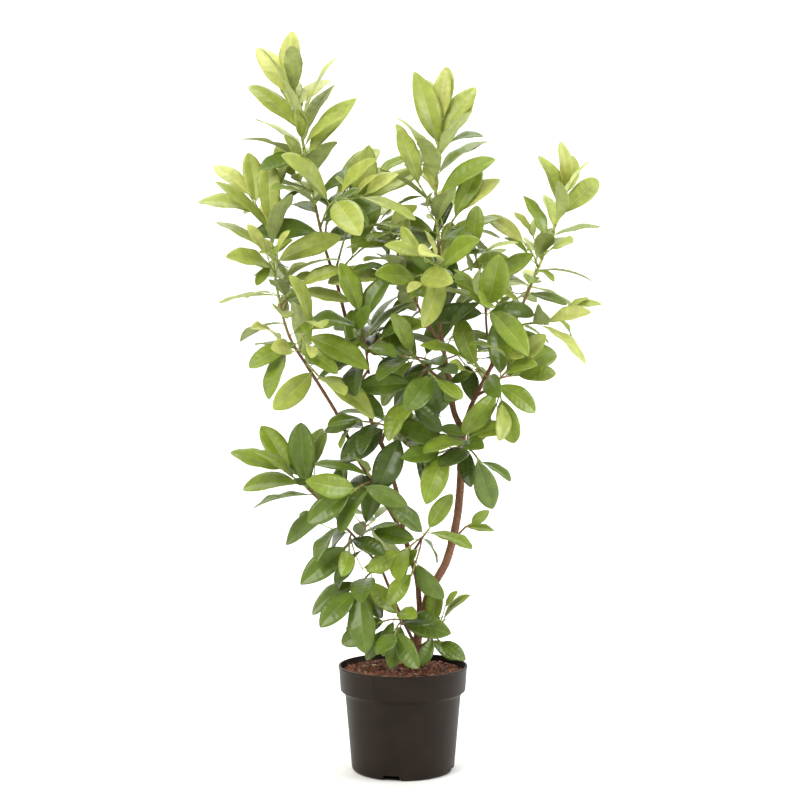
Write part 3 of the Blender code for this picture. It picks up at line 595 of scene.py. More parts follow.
def keep_if_clear(leaf, twig, taken):
    """Whether the leaf stays clear: its blade of its own mass, and all of it of everything else.

    It hangs no lower than the pot's rim either. If it stays, the leaves after it keep clear of it too.
    """
    if min(point.z for point in leaf_points(leaf)) < LOWEST_LEAF * MM:
        return False
    mass = twig["space"]["mass"]
    space = dict(
        mass=mass,
        blade=leaf_tree(leaf, LEAF_STALK),
        whole=leaf_tree(leaf, 0),
        centre=leaf["base"] + leaf["heading"] * leaf["length"] / 2,
        reach=leaf["length"] * LEAF_REACH,
    )
    for other in taken:
        if other is twig["space"]:
            continue
        if (space["centre"] - other["centre"]).length > space["reach"] + other["reach"]:
            continue
        extent = "blade" if other["mass"] == mass else "whole"
        if space[extent].overlap(other[extent]):
            return False
    taken.append(space)
    return True


print("leaves keep", LEAF_CLEARANCE, "mm clear of each other")

# %% Leaves up a twig
LAST_LEAF = 0.985
CROWDING = 0.85  # below 1, the leaves stand closer towards the tip
LEAF_TURN = 137.5
LOW_LEAN = 86  # degrees from the twig at its first leaf, where a mass gives no low_lean of its own
TOP_LEAN = 16
LEAN_CHANGE = 1.3  # above 1, the leaves stay spread for longer up the twig
DROOP = 0.28  # how far the lowest leaf's heading sinks, where a mass gives no droop of its own
ROLL = 32
SKYWARD = 0.54  # how much a leaf's upper side turns to the sky rather than along its twig
FRONTWARD = 0.55  # how much it turns to the light from the front
LEAF_AT_FOOT = 0.86  # of the full length, at the twig's foot
FULL_FROM = 0.25  # share of the way up a twig's leaves from where they are full length
SHORT_FROM = 0.82  # and from where they shorten again
LENGTH_SPREAD = (0.88, 1.1)
DEPTH_SHARE = 0.8  # below 1, leaves turn to the sides: the crown is wider than it is deep
SIDEWAYS = 0.95  # a twig that points further to a side than this has its turns counted from the front
SPREAD = 6  # degrees at the first try, and 9 more at each further one
MORE_SPREAD = 9
SHRINK = 0.04  # of the length at each further try
TRIES = 9


def leaf_size(climb):
    """How long a leaf is up the twig: a little short at its foot, and short again near its tip."""
    grown = between((LEAF_AT_FOOT, 1), min(climb / FULL_FROM, 1))
    return grown * (1 - max(climb - SHORT_FROM, 0))


def grow_leaves(twig, row, chance, taken):
    """Leaves up a twig, each a fixed turn on from the last, kept only where they touch nothing."""
    leaves = []
    for k in range(twig["leaves"]):
        climb = k / max(twig["leaves"] - 1, 1)
        share = between((twig["first"], LAST_LEAF), climb**CROWDING)
        base, axis = point_at(twig["path"], share)
        east = Vector((1, 0, 0)) if abs(axis.x) < SIDEWAYS else Vector((0, -1, 0))
        across = across_to(axis, east)
        beside = axis.cross(across)
        usual_lean = between((row.get("low_lean", LOW_LEAN), TOP_LEAN), climb**LEAN_CHANGE)
        for attempt in range(TRIES):
            spread = SPREAD + MORE_SPREAD * attempt
            turn = math.radians(twig["turn"] + LEAF_TURN * k + chance.uniform(-spread, spread))
            lean = math.radians(usual_lean + chance.uniform(-spread, spread))
            out = (across * math.cos(turn) + beside * math.sin(turn) * DEPTH_SHARE).normalized()
            heading = axis * math.cos(lean) + out * math.sin(lean)
            heading.z -= row.get("droop", DROOP) * (1 - climb)
            heading.normalize()
            light = axis * (1 - SKYWARD) + Vector((0, -FRONTWARD, SKYWARD))
            upper = across_to(heading, light)
            upper = rolled(heading, upper, math.radians(chance.uniform(-ROLL, ROLL)))
            full = row["leaf"] * MM * leaf_size(climb)
            length = full * chance.uniform(*LENGTH_SPREAD) * (1 - SHRINK * attempt)
            width = row.get("width", LEAF_WIDTH)
            leaf = new_leaf(base, heading, upper, length, width, chance)
            leaf.update(twig=twig, share=share, climb=climb)
            if keep_if_clear(leaf, twig, taken):
                leaves.append(leaf)
                break
    return leaves


print("a leaf halfway up is", round(leaf_size(0.5), 2), "of its twig's leaf size")

# %% [markdown]
# ## Growing the plant
#
# The limbs and twigs claim their space first and then the leaves, always in the same order and from
# the same seeds, so every run grows the same shrub as the solids have.

# %% Grow
def grow_plant():
    """The limbs, each mass's twigs and leaves, and the space that they take."""
    limbs = grow_limbs()
    taken = []
    for limb in limbs.values():
        add_tube(limb, None, taken)
    masses = {}
    for name, row in MASSES.items():
        twigs = grow_twigs(row, limbs[row["bough"]])
        for twig in twigs:
            add_tube(twig, name, taken)
        masses[name] = dict(twigs=twigs, leaves=[])
    for name, row in MASSES.items():
        chance = random.Random(row["seed"])
        for twig in masses[name]["twigs"]:
            masses[name]["leaves"] += grow_leaves(twig, row, chance, taken)
    return limbs, masses, taken


limbs, masses, taken = grow_plant()
print("grown:", sum(len(mass["leaves"]) for mass in masses.values()), "leaves")

# %% [markdown]
# ## Finer shoots
#
# The solids leave out the short side shoots that fill a laurel, because each costs faces. Here they
# grow in the gaps that are left: a thin shoot of a few smaller leaves, in the same space as its mass
# and by the same rule. One that would touch anything is dropped.

# %% Side shoots
SHOOT_SEED = 200  # added to the mass's own seed
SHOOT_SPACING = 60  # millimetres of twig for each try
SHOOT_SHARES = (0.12, 0.92)  # of the twig's length, where a shoot can leave it
SHOOT_LENGTH = (40, 85)
SHOOT_LEAN = (35, 62)
SHOOT_RADII = (1.6, 1.0)
SHOOT_FOOT = 0.8  # of the twig's radius there, at the most
SHOOT_LEAVES = (2, 3)
SHOOT_LEAF = (0.55, 0.85)  # of the mass's leaf
SHOOT_FIRST_LEAF = 0.45  # share of the shoot's length
SHOOT_LOW_LEAN = 64
SHOOT_RISE = 0.35  # how much a shoot turns up along its length
UPRIGHT = 0.9  # on a twig that points further up than this, shoots are turned from the right
REACH_BEYOND = 4  # millimetres that a fine leaf may pass its mass's box


def is_within(leaf, low, high):
    """Whether the whole leaf lies inside the box of its mass."""
    return all(low[k] <= point[k] <= high[k] for point in leaf_points(leaf) for k in range(3))


def new_shoot(twig, chance):
    """A thin shoot that leaves a twig somewhere along it and turns up."""
    share = chance.uniform(*SHOOT_SHARES)
    base, axis = point_at(twig["path"], share)
    across = across_to(axis, Vector((0, 0, 1)) if abs(axis.z) < UPRIGHT else Vector((1, 0, 0)))
    out = rolled(axis, across, math.radians(chance.uniform(0, 360)))
    lean = math.radians(chance.uniform(*SHOOT_LEAN))
    heading = axis * math.cos(lean) + out * math.sin(lean)
    length = chance.uniform(*SHOOT_LENGTH) * MM
    middle = base + heading * length * 0.5
    tip = middle + (heading + Vector((0, 0, SHOOT_RISE))).normalized() * length * 0.5
    foot = min(SHOOT_RADII[0] * MM, radius_at(twig, share) * SHOOT_FOOT)
    return dict(
        path=[base, middle, tip], foot=foot, tip=SHOOT_RADII[1] * MM, share=share, parent=twig,
        leaves=chance.randint(*SHOOT_LEAVES), turn=chance.uniform(0, 360), first=SHOOT_FIRST_LEAF,
    )


def grow_shoots(name, row, mass, taken):
    """Side shoots with small leaves along each twig of a mass, kept where they find room."""
    low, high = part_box(name)
    low, high = [c - REACH_BEYOND * MM for c in low], [c + REACH_BEYOND * MM for c in high]
    chance = random.Random(row["seed"] + SHOOT_SEED)
    for twig in list(mass["twigs"]):
        tries = round(lengths_along(twig["path"])[-1] / (SHOOT_SPACING * MM))
        for _ in range(tries):
            shoot = new_shoot(twig, chance)
            leaf_length = row["leaf"] * chance.uniform(*SHOOT_LEAF)
            size = dict(row, leaf=leaf_length, low_lean=SHOOT_LOW_LEAN)
            add_tube(shoot, name, taken)
            space = shoot["space"]
            own = [s for s in taken if s is not space and s is not twig["space"]]
            near = [
                s for s in own
                if (s["centre"] - space["centre"]).length < s["reach"] + space["reach"]
            ]
            if any(space["whole"].overlap(s["blade"]) for s in near):
                taken.remove(space)
                continue
            before = len(taken)
            leaves = grow_leaves(shoot, size, chance, taken)
            if len(leaves) < SHOOT_LEAVES[0] or not all(is_within(leaf, low, high) for leaf in leaves):
                del taken[before - 1:]
                continue
            mass["twigs"].append(shoot)
            mass["leaves"] += leaves


for name, row in MASSES.items():
    grow_shoots(name, row, masses[name], taken)
print("with shoots:", sum(len(m["leaves"]) for m in masses.values()), "leaves,",
      sum(len(m["twigs"]) for m in masses.values()), "twigs")

# %% [markdown]
# ## The shape of a laurel leaf
#
# The blade is a long ellipse, a little wider past its middle, with a wedge at its base and a short
# point. It folds up along its midrib, its margins roll back and wave, and the side veins quilt it.
# A flat card with a cut-out picture would be lighter, but it has no thickness and no fold, so it
# looks wrong from the side. Here each blade is a thin closed mesh in its own outline. Its rows run
# out along the side veins. Each third row is a vein, sunk a hair, and the two between it and the
# next are raised, which makes the quilting.

# %% The blade
BLADE_ROWS = 24
BLADE_COLUMNS = np.array([-1.0, -0.68, -0.34, 0.0, 0.0, 0.34, 0.68, 1.0])  # from the midrib's edges out
BLADE_SIDES = np.array([-1, -1, -1, -1, 1, 1, 1, 1])
BLADE_FOOT = 0.085  # of the leaf's length, where the stalk ends
BLADE_BASE = 0.85  # above 1 hollows the wedge, below 1 fills it
BLADE_POINT = (0.6, 0.86)  # the same at the point: a low number is blunt
BLADE_HALF = (0.84, 0.99)  # of half the width of the solid that it grows on
MIDRIB = (0.95, 0.3)  # half the midrib's width at its foot and its tip
MIDRIB_GROOVE = 0.35
MIDRIB_RIDGE = (1.1, 0.1)
WHOLE_RIB_LENGTH = 0.13  # metres: a shorter leaf has a thinner midrib
BLADE_THICKNESS = 0.55
WHOLE_BLADE_LENGTH = 0.1  # metres: a shorter leaf has a thinner blade
VEIN_SLANT = 0.45  # how far a row runs forward, over how far it runs out
VEIN_RELIEF = (-0.95, 0.65, 0.35)  # a vein and the two rows up to the next, in millimetres
QUILT_RUN = 0.9  # half waves of relief from the midrib to the edge
FOLD = (0.42, 0.26)
RECURVE = (0.06, 0.22)
WAVE = (0.005, 0.02)  # of the leaf's length
WAVES = (1.3, 2.6)
WAVE_STARTS = (0, 6.3)  # about one turn in radians
TWIST = 16  # degrees at the tip
TIP_CURL = (0.0, 0.06)
SWAY = 0.03  # of the length, how far the midrib bends to one side


def blade_outline(along, point):
    """The half width at a share of the blade's length, over the greatest half width."""
    fullest = BLADE_BASE / (BLADE_BASE + point)
    greatest = fullest**BLADE_BASE * (1 - fullest)**point
    return along**BLADE_BASE * (1 - along)**point / greatest


def blade_faces():
    """The faces of a blade, and which of its four surfaces each belongs to."""
    columns = len(BLADE_COLUMNS)
    under = (BLADE_ROWS + 1) * columns
    middle = columns // 2 - 1
    faces, surfaces = [], []
    for row in range(BLADE_ROWS):
        for column in range(columns - 1):
            a, b = row * columns + column, (row + 1) * columns + column
            faces += [(a, a + 1, b + 1, b), (under + b, under + b + 1, under + a + 1, under + a)]
            surfaces += ["rib", "under_rib"] if column == middle else ["upper", "under"]
        a, b = row * columns, (row + 1) * columns
        faces.append((b, under + b, under + a, a))
        a, b = a + columns - 1, b + columns - 1
        faces.append((a, under + a, under + b, b))
        surfaces += ["edge", "edge"]
    last = BLADE_ROWS * columns
    for column in range(columns - 1):
        a, b = column, last + column
        faces += [(a, under + a, under + a + 1, a + 1), (b + 1, under + b + 1, under + b, b)]
        surfaces += ["edge", "edge"]
    return faces, surfaces


print("a blade has", len(blade_faces()[0]), "faces")

# %% Where the blade's points lie
def blade_points(leaf, chance):
    """The points of the upper side and then of the under side, row by row."""
    length = leaf["length"]
    heading, upper = np.array(leaf["heading"]), np.array(leaf["upper"])
    side = np.cross(heading, upper)
    half = chance.uniform(*BLADE_HALF) * leaf["width"]
    outward = np.abs(BLADE_COLUMNS)[None, :]
    row = np.linspace(0, 1, BLADE_ROWS + 1)[:, None]
    run = (1 - BLADE_FOOT) * length
    point = chance.uniform(*BLADE_POINT)
    along = np.minimum(row + VEIN_SLANT * half * blade_outline(row, point) * outward / run, 1)
    outline = blade_outline(along, point)
    width = half * outline
    rib = between(MIDRIB, row) * MM * min(length / WHOLE_RIB_LENGTH, 1)
    sideways = BLADE_SIDES[None, :] * (rib + width * outward)
    fold = between(FOLD, row) * np.abs(sideways)
    roll_back = chance.uniform(*RECURVE) * half * outward**3 * outline
    wave = chance.uniform(*WAVE) * length
    turns = 2 * np.pi * chance.uniform(*WAVES)
    starts = chance.uniform(*WAVE_STARTS), chance.uniform(*WAVE_STARTS)
    phase = np.where(BLADE_SIDES[None, :] > 0, *starts)
    waves = wave * np.sin(turns * along + phase) * outward**2 * outline
    relief = np.array(VEIN_RELIEF)[np.arange(BLADE_ROWS + 1) % len(VEIN_RELIEF)]
    raised = relief[:, None] * MM * outline
    quilting = raised * np.sin(np.pi * outward * QUILT_RUN)
    share = BLADE_FOOT + (1 - BLADE_FOOT) * along
    arch = 4 * leaf["arch"] * share * (1 - share) * length
    curl = chance.uniform(*TIP_CURL) * length * along**4
    sideways = sideways + chance.uniform(-SWAY, SWAY) * length * np.sin(np.pi * share)
    height = fold - roll_back + waves + quilting
    angle = math.radians(chance.uniform(-TWIST, TWIST)) * along
    turned_side = side * np.cos(angle)[..., None] + upper * np.sin(angle)[..., None]
    turned_upper = upper * np.cos(angle)[..., None] - side * np.sin(angle)[..., None]
    points = (
        np.array(leaf["base"])
        + heading * (length * share)[..., None]
        + upper * (arch - curl)[..., None]
        + turned_side * sideways[..., None]
        + turned_upper * height[..., None]
    )
    on_rib = (outward == 0) * 1.0
    thick = BLADE_THICKNESS * MM * min(length / WHOLE_BLADE_LENGTH, 1)
    ridge = between(MIDRIB_RIDGE, row) * MM * min(length / WHOLE_RIB_LENGTH, 1)
    top = points + turned_upper * (0.5 * thick - MIDRIB_GROOVE * MM * on_rib * (1 - row))[..., None]
    bottom = points - turned_upper * (0.5 * thick + ridge * on_rib)[..., None]
    return np.concatenate([top.reshape(-1, 3), bottom.reshape(-1, 3)])


print("a blade has", 2 * (BLADE_ROWS + 1) * len(BLADE_COLUMNS), "points")

# %% [markdown]
# ## Tubes
#
# Stems, twigs and leaf stalks are all round tubes along a path. Blender's curves with a bevel make
# those too, but here the radius swells at every leaf scar and the bark has its own relief, so the
# rings are laid by a function. Each ring takes its direction from the last one, and so never twists.

# %% A closed tube
def tube(path, radii, sides):
    """The points, faces and ring directions of a closed round tube with its radius at each point."""
    path = np.array(path)
    along = np.gradient(path, axis=0)
    along /= np.linalg.norm(along, axis=1)[:, None]
    across = np.array(Vector(along[0]).orthogonal().normalized())
    angles = 2 * np.pi * np.arange(sides) / sides
    rings, outs = [], []
    for centre, forward, radius in zip(path, along, radii):
        across = across - forward * across.dot(forward)
        across /= np.linalg.norm(across)
        beside = np.cross(forward, across)
        out = np.cos(angles)[:, None] * across + np.sin(angles)[:, None] * beside
        rings.append(centre + out * radius)
        outs.append(out)
    last = (len(path) - 1) * sides
    foot, tip = tuple(range(sides - 1, -1, -1)), tuple(range(last, last + sides))
    faces = [foot] + bands(len(path), sides) + [tip]
    return np.concatenate(rings), faces, np.concatenate(outs)


def at_distances(path, distances):
    """Points at distances along a path."""
    path = np.array(path)
    total = np.concatenate([[0], np.cumsum(np.linalg.norm(np.diff(path, axis=0), axis=1))])
    return np.stack([np.interp(distances, total, path[:, k]) for k in range(3)], axis=1)


print("a tube of 3 rings has", len(tube([(0, 0, 0), (0, 0, 1), (0, 0, 2)], [1, 1, 1], 8)[1]), "faces")

# %% [markdown]
# ## Leaf finishes
#
# A laurel leaf is glossy above, from its waxy skin, and matt and paler below. It opens lime green and
# darkens for two years. Five ages are enough to show that, each with a plain colour for its upper
# side, its under side and its midrib, dealt out by spray: the tips of the shoots get the youngest. A
# gradient along the whole plant would be smoother, but real leaves differ one by one.

# %% Leaf materials
LEAF_AGES = [
    dict(name="opening", upper="#B1B75C", under="#BCC580", rib="#C4CC88", gloss=0.44),
    dict(name="young", upper="#9AA548", under="#A9B46E", rib="#B2BB70", gloss=0.40),
    dict(name="summer", upper="#7A8E2A", under="#96A260", rib="#9AA958", gloss=0.36),
    dict(name="ripe", upper="#5C7223", under="#788546", rib="#74883A", gloss=0.32),
    dict(name="old", upper="#45571E", under="#5F6E3A", rib="#5E7434", gloss=0.30),
]
WAX_IOR = 1.46  # plant wax and cuticle
UNDERSIDE_ROUGHNESS = 0.62
RIB_ROUGHNESS = 0.45
DARKER = 0.89  # the deepest and the palest patches of a blade
LIGHTER = 1.06
BLADE_PATCH = 17


def shade_of(hex_colour, factor):
    """The hex colour made darker or lighter by a factor."""
    parts = [min(round(int(hex_colour[k:k + 2], 16) * factor), 255) for k in (1, 3, 5)]
    return "#" + "".join(f"{part:02X}" for part in parts)


def leaf_side(name, colour, roughness, grain_size, grain_height):
    """One side of a leaf: its colour in soft patches, as chlorophyll lies, and the skin's fine grain."""
    material, tree, shader = new_material(name, {"Roughness": roughness, "IOR": WAX_IOR})
    colours = patches(tree, shade_of(colour, DARKER), shade_of(colour, LIGHTER), size=BLADE_PATCH)
    tree.links.new(colours, shader.inputs["Base Color"])
    grain(tree, shader, size=grain_size, height=grain_height)
    return material


def sides_of(age):
    """The three materials of one age: upper side, under side, and midrib with stalk."""
    name = age["name"]
    return [
        # waxed: the highlights run along the fold
        leaf_side(f"waxy_{name}_leaf", age["upper"], age["gloss"], grain_size=3.0, grain_height=0.12),
        # matt: pale and even, with the veins' fine net
        leaf_side(
            f"matt_{name}_leaf_underside", age["under"], UNDERSIDE_ROUGHNESS,
            grain_size=1.6, grain_height=0.15,
        ),
        # smooth and watery: the pale line that draws each leaf
        leaf_side(
            f"{name}_midrib_and_stalk", age["rib"], RIB_ROUGHNESS, grain_size=5.0, grain_height=0.05
        ),
    ]


leaf_materials = [material for age in LEAF_AGES for material in sides_of(age)]
print(len(leaf_materials), "leaf materials")

# %% [markdown]
# ## Putting the leaves together
#
# Each leaf gets a blade and a stalk that bends out of its twig. Which age it has follows from how far
# up its shoot it sits: every mass says how old its leaves are at the foot and at the tip. The masses
# inside and low in the crown are set older and darker, partly for their real age and partly as
# painted shade for the dim inside of the crown.

# %% Leaves of a mass
# The age also sets how dark a leaf is. The inner and low masses' high values are partly painted shade.
SPRAY_AGES_AND_SHADE = {  # at the foot and at the tip of a mass's shoots: 0 is opening, 4 is old
    "left_crown": (2.6, 0.3), "outer_left_crown": (2.1, 0.5), "middle_crown": (2.6, 0.4),
    "right_crown": (2.0, 0.3), "middle_left_mass": (3.0, 1.2), "middle_right_mass": (3.1, 1.5),
    "right_low_mass": (2.5, 1.4), "fork_mass": (3.5, 2.6), "centre_mass": (3.5, 2.5),
    "rear_mass": (3.8, 2.4), "left_inner_mass": (3.6, 2.4), "centre_left_mass": (3.8, 2.8),
    "lower_left_mass": (3.6, 2.6), "low_left_mass": (3.6, 2.4), "low_centre_mass": (2.6, 1.8),
    "right_stem_mass": (2.0, 1.0), "base_right_mass": (3.1, 2.2), "base_left_mass": (3.1, 2.2),
}
AGE_SPREAD = 0.7
SIDES_OF_A_LEAF = 3  # materials for each age
STALK_RADII = (1.7, 1.25, 1.15, 1.1)
STALK_SIDES = 6
STALK_STEPS = (0, 0.35, 0.7, 1)
STALK_BEND = 0.12  # how far its middle bends along the twig, over its length
STALK_OVERLAP = 0.01  # of the leaf's length, how far it runs on under the blade
WHOLE_STALK_LENGTH = 0.12  # metres: a shorter leaf has a thinner stalk
THINNEST_STALK = 0.78  # of a full-grown leaf's stalk: small leaves have nearly as thick a one
SMOOTH_STEPS = 8
LEAF_SEED = 300  # added to the mass's own seed


def fine_path(limb):
    """The limb's own places joined by a smooth line."""
    return smooth_path(limb["path"], SMOOTH_STEPS)


def stalk_of(leaf):
    """The stalk's tube, from the middle of the twig to the foot of the blade."""
    start, axis = point_at(leaf["twig"]["smooth"], min(leaf["share"], 1.0))
    length = leaf["length"]
    rise = 4 * leaf["arch"] * BLADE_FOOT * (1 - BLADE_FOOT) * length
    end = leaf["base"] + leaf["heading"] * length * (BLADE_FOOT + STALK_OVERLAP) + leaf["upper"] * rise
    bend = start.lerp(end, 0.5) + axis * (end - start).length * STALK_BEND
    path = [start * (1 - t)**2 + bend * 2 * t * (1 - t) + end * t**2 for t in STALK_STEPS]
    size = MM * min(max(length / WHOLE_STALK_LENGTH, THINNEST_STALK), 1)
    return tube(path, [r * size for r in STALK_RADII], STALK_SIDES)


# The age picks the leaf's colours, so it also carries the painted shade of the inner masses.
def age_and_shade_of(name, leaf, chance):
    age = between(SPRAY_AGES_AND_SHADE[name], leaf["climb"]) + chance.uniform(-AGE_SPREAD, AGE_SPREAD)
    return min(max(round(age), 0), len(LEAF_AGES) - 1)


def make_leaves(name, mass, seed):
    """All the leaves of a mass in one piece."""
    chance = random.Random(seed)
    batch = new_batch()
    faces, surfaces = blade_faces()
    smooth = [surface != "edge" for surface in surfaces]
    for leaf in mass["leaves"]:
        upper = SIDES_OF_A_LEAF * age_and_shade_of(name, leaf, chance)
        under, rib = upper + 1, upper + 2
        finish_of = dict(upper=upper, edge=upper, under=under, rib=rib, under_rib=rib)
        add_to(batch, blade_points(leaf, chance), faces, [finish_of[s] for s in surfaces], smooth)
        points, stalk_faces, _ = stalk_of(leaf)
        add_to(batch, points, stalk_faces, rib)
    slot = "young_foliage" if "crown" in name else "mature_foliage"
    return new_piece(f"{name}_leaves", batch, leaf_materials, slot, name)


for mass in masses.values():
    for twig in mass["twigs"]:
        twig["smooth"] = fine_path(twig)
leaf_faces_made = 0
for name, mass in masses.items():
    piece = make_leaves(name, mass, MASSES[name]["seed"] + LEAF_SEED)
    leaf_faces_made += len(piece.data.polygons)
print("leaf faces:", leaf_faces_made)

# %% [markdown]
# ## Bark
#
# Young laurel bark is thin: brown with a grey bloom, with small pale pores and a ring at each old
# leaf scar. The rings and lumps are real relief in the mesh, because they show in the outline of the
# stems. The pores and the fine cracks are too small for that and stay in the material.

# %% Bark materials
BARK_IOR = 1.5
PORE_SPACING = 5.5
PORE_EDGE = (0.12, 0.22)  # of the spacing: how far from its middle a pore starts to fade, and ends
PORE_STRENGTH = 0.55
PORE_TONE = 1.25  # how much paler than the lighter brown


def bark_material(name, dark, light, roughness, patch, crack, depth):
    """Bark in patches of two browns, with fine cracks across and small pale pores."""
    material, tree, shader = new_material(name, {"Roughness": roughness, "IOR": BARK_IOR})
    colours = patches(tree, dark, light, size=patch, sharpness=0.7)
    where = add_node(tree, "ShaderNodeTexCoord")
    pores = add_node(
        tree, "ShaderNodeTexVoronoi", {"Scale": 1 / (PORE_SPACING * MM)},
        {"Vector": where.outputs["Object"]},
    )
    dots = add_node(
        tree, "ShaderNodeMapRange",
        {"From Min": PORE_EDGE[0], "From Max": PORE_EDGE[1], "To Min": PORE_STRENGTH, "To Max": 0.0},
        {"Value": pores.outputs["Distance"]},
    )
    mixed = add_node(
        tree, "ShaderNodeMixRGB", {"Color2": linear(shade_of(light, PORE_TONE))},
        {"Fac": dots.outputs["Result"], "Color1": colours},
    )
    tree.links.new(mixed.outputs["Color"], shader.inputs["Base Color"])
    grain(tree, shader, size=crack, height=depth)
    return material


bark_materials = [
    # woody bark: rough and dull, brown with a grey bloom
    bark_material("woody_laurel_bark", "#553223", "#8A6044", 0.75, 7, 1.5, 0.5),
    # ripening shoot: olive brown, smoother
    bark_material("ripening_laurel_bark", "#6E5A2E", "#8E7B40", 0.6, 9, 2.0, 0.2),
    # green shoot: smooth and a little waxy
    bark_material("green_laurel_shoot", "#8C9E40", "#A3B552", 0.45, 9, 2.5, 0.1),
    # the reddish collar where a leaf stalk joins the shoot
    bark_material("reddish_leaf_node", "#80602F", "#97743F", 0.6, 5, 2.0, 0.2),
]
WOODY, RIPENING, GREEN, NODE = range(4)
print(len(bark_materials), "bark materials")

# %% Limbs with their bark
RING_SPACING = 2.5
LIMB_SIDES = 18
SCAR_SPACING = 34
FIRST_SCAR = 0.6  # of the spacing
SCAR_SWELL = (0.06, 2.4)  # of the radius, and how far it spreads in millimetres
JOINT_SWELL = (0.18, 7.0)
LAST_JOINT = 0.9  # a limb that leaves its parent further up than this carries it on, without a collar
BARK_LUMPS = 0.05
LUMP_SIZE = 9
FINE_LUMPS = 0.035
FINE_LUMP_SIZE = 3
ROOT_FLARE = (0.3, 12.0)
IN_THE_GROUND = 7
OVERLAP = 1.5  # how far the bark runs on past the limb's tip, into the stem that follows


def swell_at(distances, centres, height, spread):
    """Smooth swellings around some distances along a limb, and none where there are no distances."""
    gaps = np.asarray(distances)[:, None] - np.asarray(list(centres) or [-1.0])[None, :]
    return height * np.exp(-((gaps / spread) ** 2)).sum(axis=1)


def make_limb(name, limb, children):
    """A limb with its taper, its leaf scars, its joints' collars and the bark's lumps."""
    path = fine_path(limb)
    length = lengths_along(path)[-1]
    buried = IN_THE_GROUND * MM if limb["parent"] is None else 0.0
    if buried:
        path.insert(0, path[0] - Vector((0, 0, buried)))
    path.append(path[-1] + (path[-1] - path[-2]).normalized() * OVERLAP * MM)
    whole = length + buried + OVERLAP * MM
    distances = np.linspace(0, whole, round(whole / (RING_SPACING * MM)) + 1)
    centres = at_distances(path, distances)
    grown = distances - buried
    radii = radius_at(limb, grown / length)
    scars = np.arange(SCAR_SPACING * FIRST_SCAR, length / MM, SCAR_SPACING) * MM
    joints = [share * length for share in children]
    radii = radii * (
        1 + swell_at(grown, scars, SCAR_SWELL[0], SCAR_SWELL[1] * MM)
        + swell_at(grown, joints, JOINT_SWELL[0], JOINT_SWELL[1] * MM)
    )
    if buried:
        radii = radii * (1 + ROOT_FLARE[0] * np.exp(-np.maximum(grown, 0) / (ROOT_FLARE[1] * MM)))
    points, faces, outs = tube(centres, radii, LIMB_SIDES)
    wide = np.repeat(radii, LIMB_SIDES)
    lumps = [
        BARK_LUMPS * noise.noise(Vector(p) / (LUMP_SIZE * MM))
        + FINE_LUMPS * noise.noise(Vector(p) / (FINE_LUMP_SIZE * MM)) for p in points
    ]
    batch = new_batch()
    add_to(batch, points + outs * (wide * np.array(lumps))[:, None], faces, WOODY)
    return new_piece(f"{name}_bark", batch, bark_materials, "bark", name)


ring_count = 0
for name, limb in limbs.items():
    leaving = [LIMBS[other]["share"] for other in LIMBS if LIMBS[other]["parent"] == name]
    piece = make_limb(name, limb, [share for share in leaving if share < LAST_JOINT])
    ring_count += len(piece.data.vertices) // LIMB_SIDES
print(ring_count, "rings of bark on", len(limbs), "limbs")

# %% [markdown]
# ## Twigs
#
# This year's growth is green, last year's is ripening to brown, and every leaf leaves a small reddish
# collar. The colours change ring by ring along the twig, as plain finishes of the faces.

# %% Twigs of a mass
TWIG_SIDES = 8
TWIG_RINGS = 9  # millimetres between the plain rings
CLOSEST_RINGS = 0.4
NODE_RINGS = (-3.6, -1.8, 0.0, 1.8, 3.6)  # the rings around a leaf's foot
NODE_SWELL = (0.22, 2.2)
NODE_REACH = 2.0
# Shares of a stem's length: up to the first it is woody, and up to the second it ripens
RIPE_SHARES = {"crown": (0.16, 0.42), "mass": (0.40, 0.80)}
SIDE_TWIG_LEAD = 0.25  # side twigs are younger than their stem
SHOOT_LEAD = 0.5  # and side shoots younger than those
BUD_RADIUS = 1.9
BUD_LENGTH = 9
BUD_STEPS = (-0.1, 0.2, 0.5, 0.8, 1.0)  # of its length
BUD_WIDTHS = (0.8, 1.0, 0.85, 0.45, 0.08)  # of its radius, at each step
BUD_TWIG = 1.4  # tip radius of the twig whose bud has the size above
LARGEST_BUD = 1.3


def twig_finishes(age, distances, nodes, woody, ripening):
    """The finish of each stretch between two rings."""
    finishes = []
    for k in range(len(distances) - 1):
        middle = (distances[k] + distances[k + 1]) / 2
        near = min((abs(middle - node) for node in nodes), default=1.0)
        if near < NODE_REACH * MM:
            finishes.append(NODE)
        else:
            share = age + (1 - age) * middle / distances[-1]
            finishes.append(WOODY if share < woody else RIPENING if share < ripening else GREEN)
    return finishes


def make_twig(batch, twig, leaves, age, woody, ripening):
    path = twig["smooth"]
    length = lengths_along(path)[-1]
    nodes = sorted(min(leaf["share"], 1.0) * length for leaf in leaves if leaf["twig"] is twig)
    plain = np.arange(0, length, TWIG_RINGS * MM)
    close = [node + step * MM for node in nodes for step in NODE_RINGS]
    distances = np.array(sorted(d for d in [*plain, *close, length] if 0 <= d <= length))
    distances = distances[np.concatenate([[True], np.diff(distances) > CLOSEST_RINGS * MM])]
    swelling = swell_at(distances, nodes, NODE_SWELL[0], NODE_SWELL[1] * MM)
    radii = radius_at(twig, distances / length) * (1 + swelling)
    points, faces, _ = tube(at_distances(path, distances), radii, TWIG_SIDES)
    finishes = twig_finishes(age, distances, nodes, woody, ripening)
    spread = [finishes[0]] + [f for f in finishes for _ in range(TWIG_SIDES)] + [finishes[-1]]
    add_to(batch, points, faces, spread)


def make_bud(batch, twig):
    """The pointed bud that ends a twig."""
    end, heading = point_at(twig["smooth"], 1.0)
    size = min(twig["tip"] / (BUD_TWIG * MM), LARGEST_BUD)
    path = [end + heading * BUD_LENGTH * MM * size * step for step in BUD_STEPS]
    points, faces, _ = tube(path, [BUD_RADIUS * MM * size * width for width in BUD_WIDTHS], TWIG_SIDES)
    add_to(batch, points, faces, GREEN)


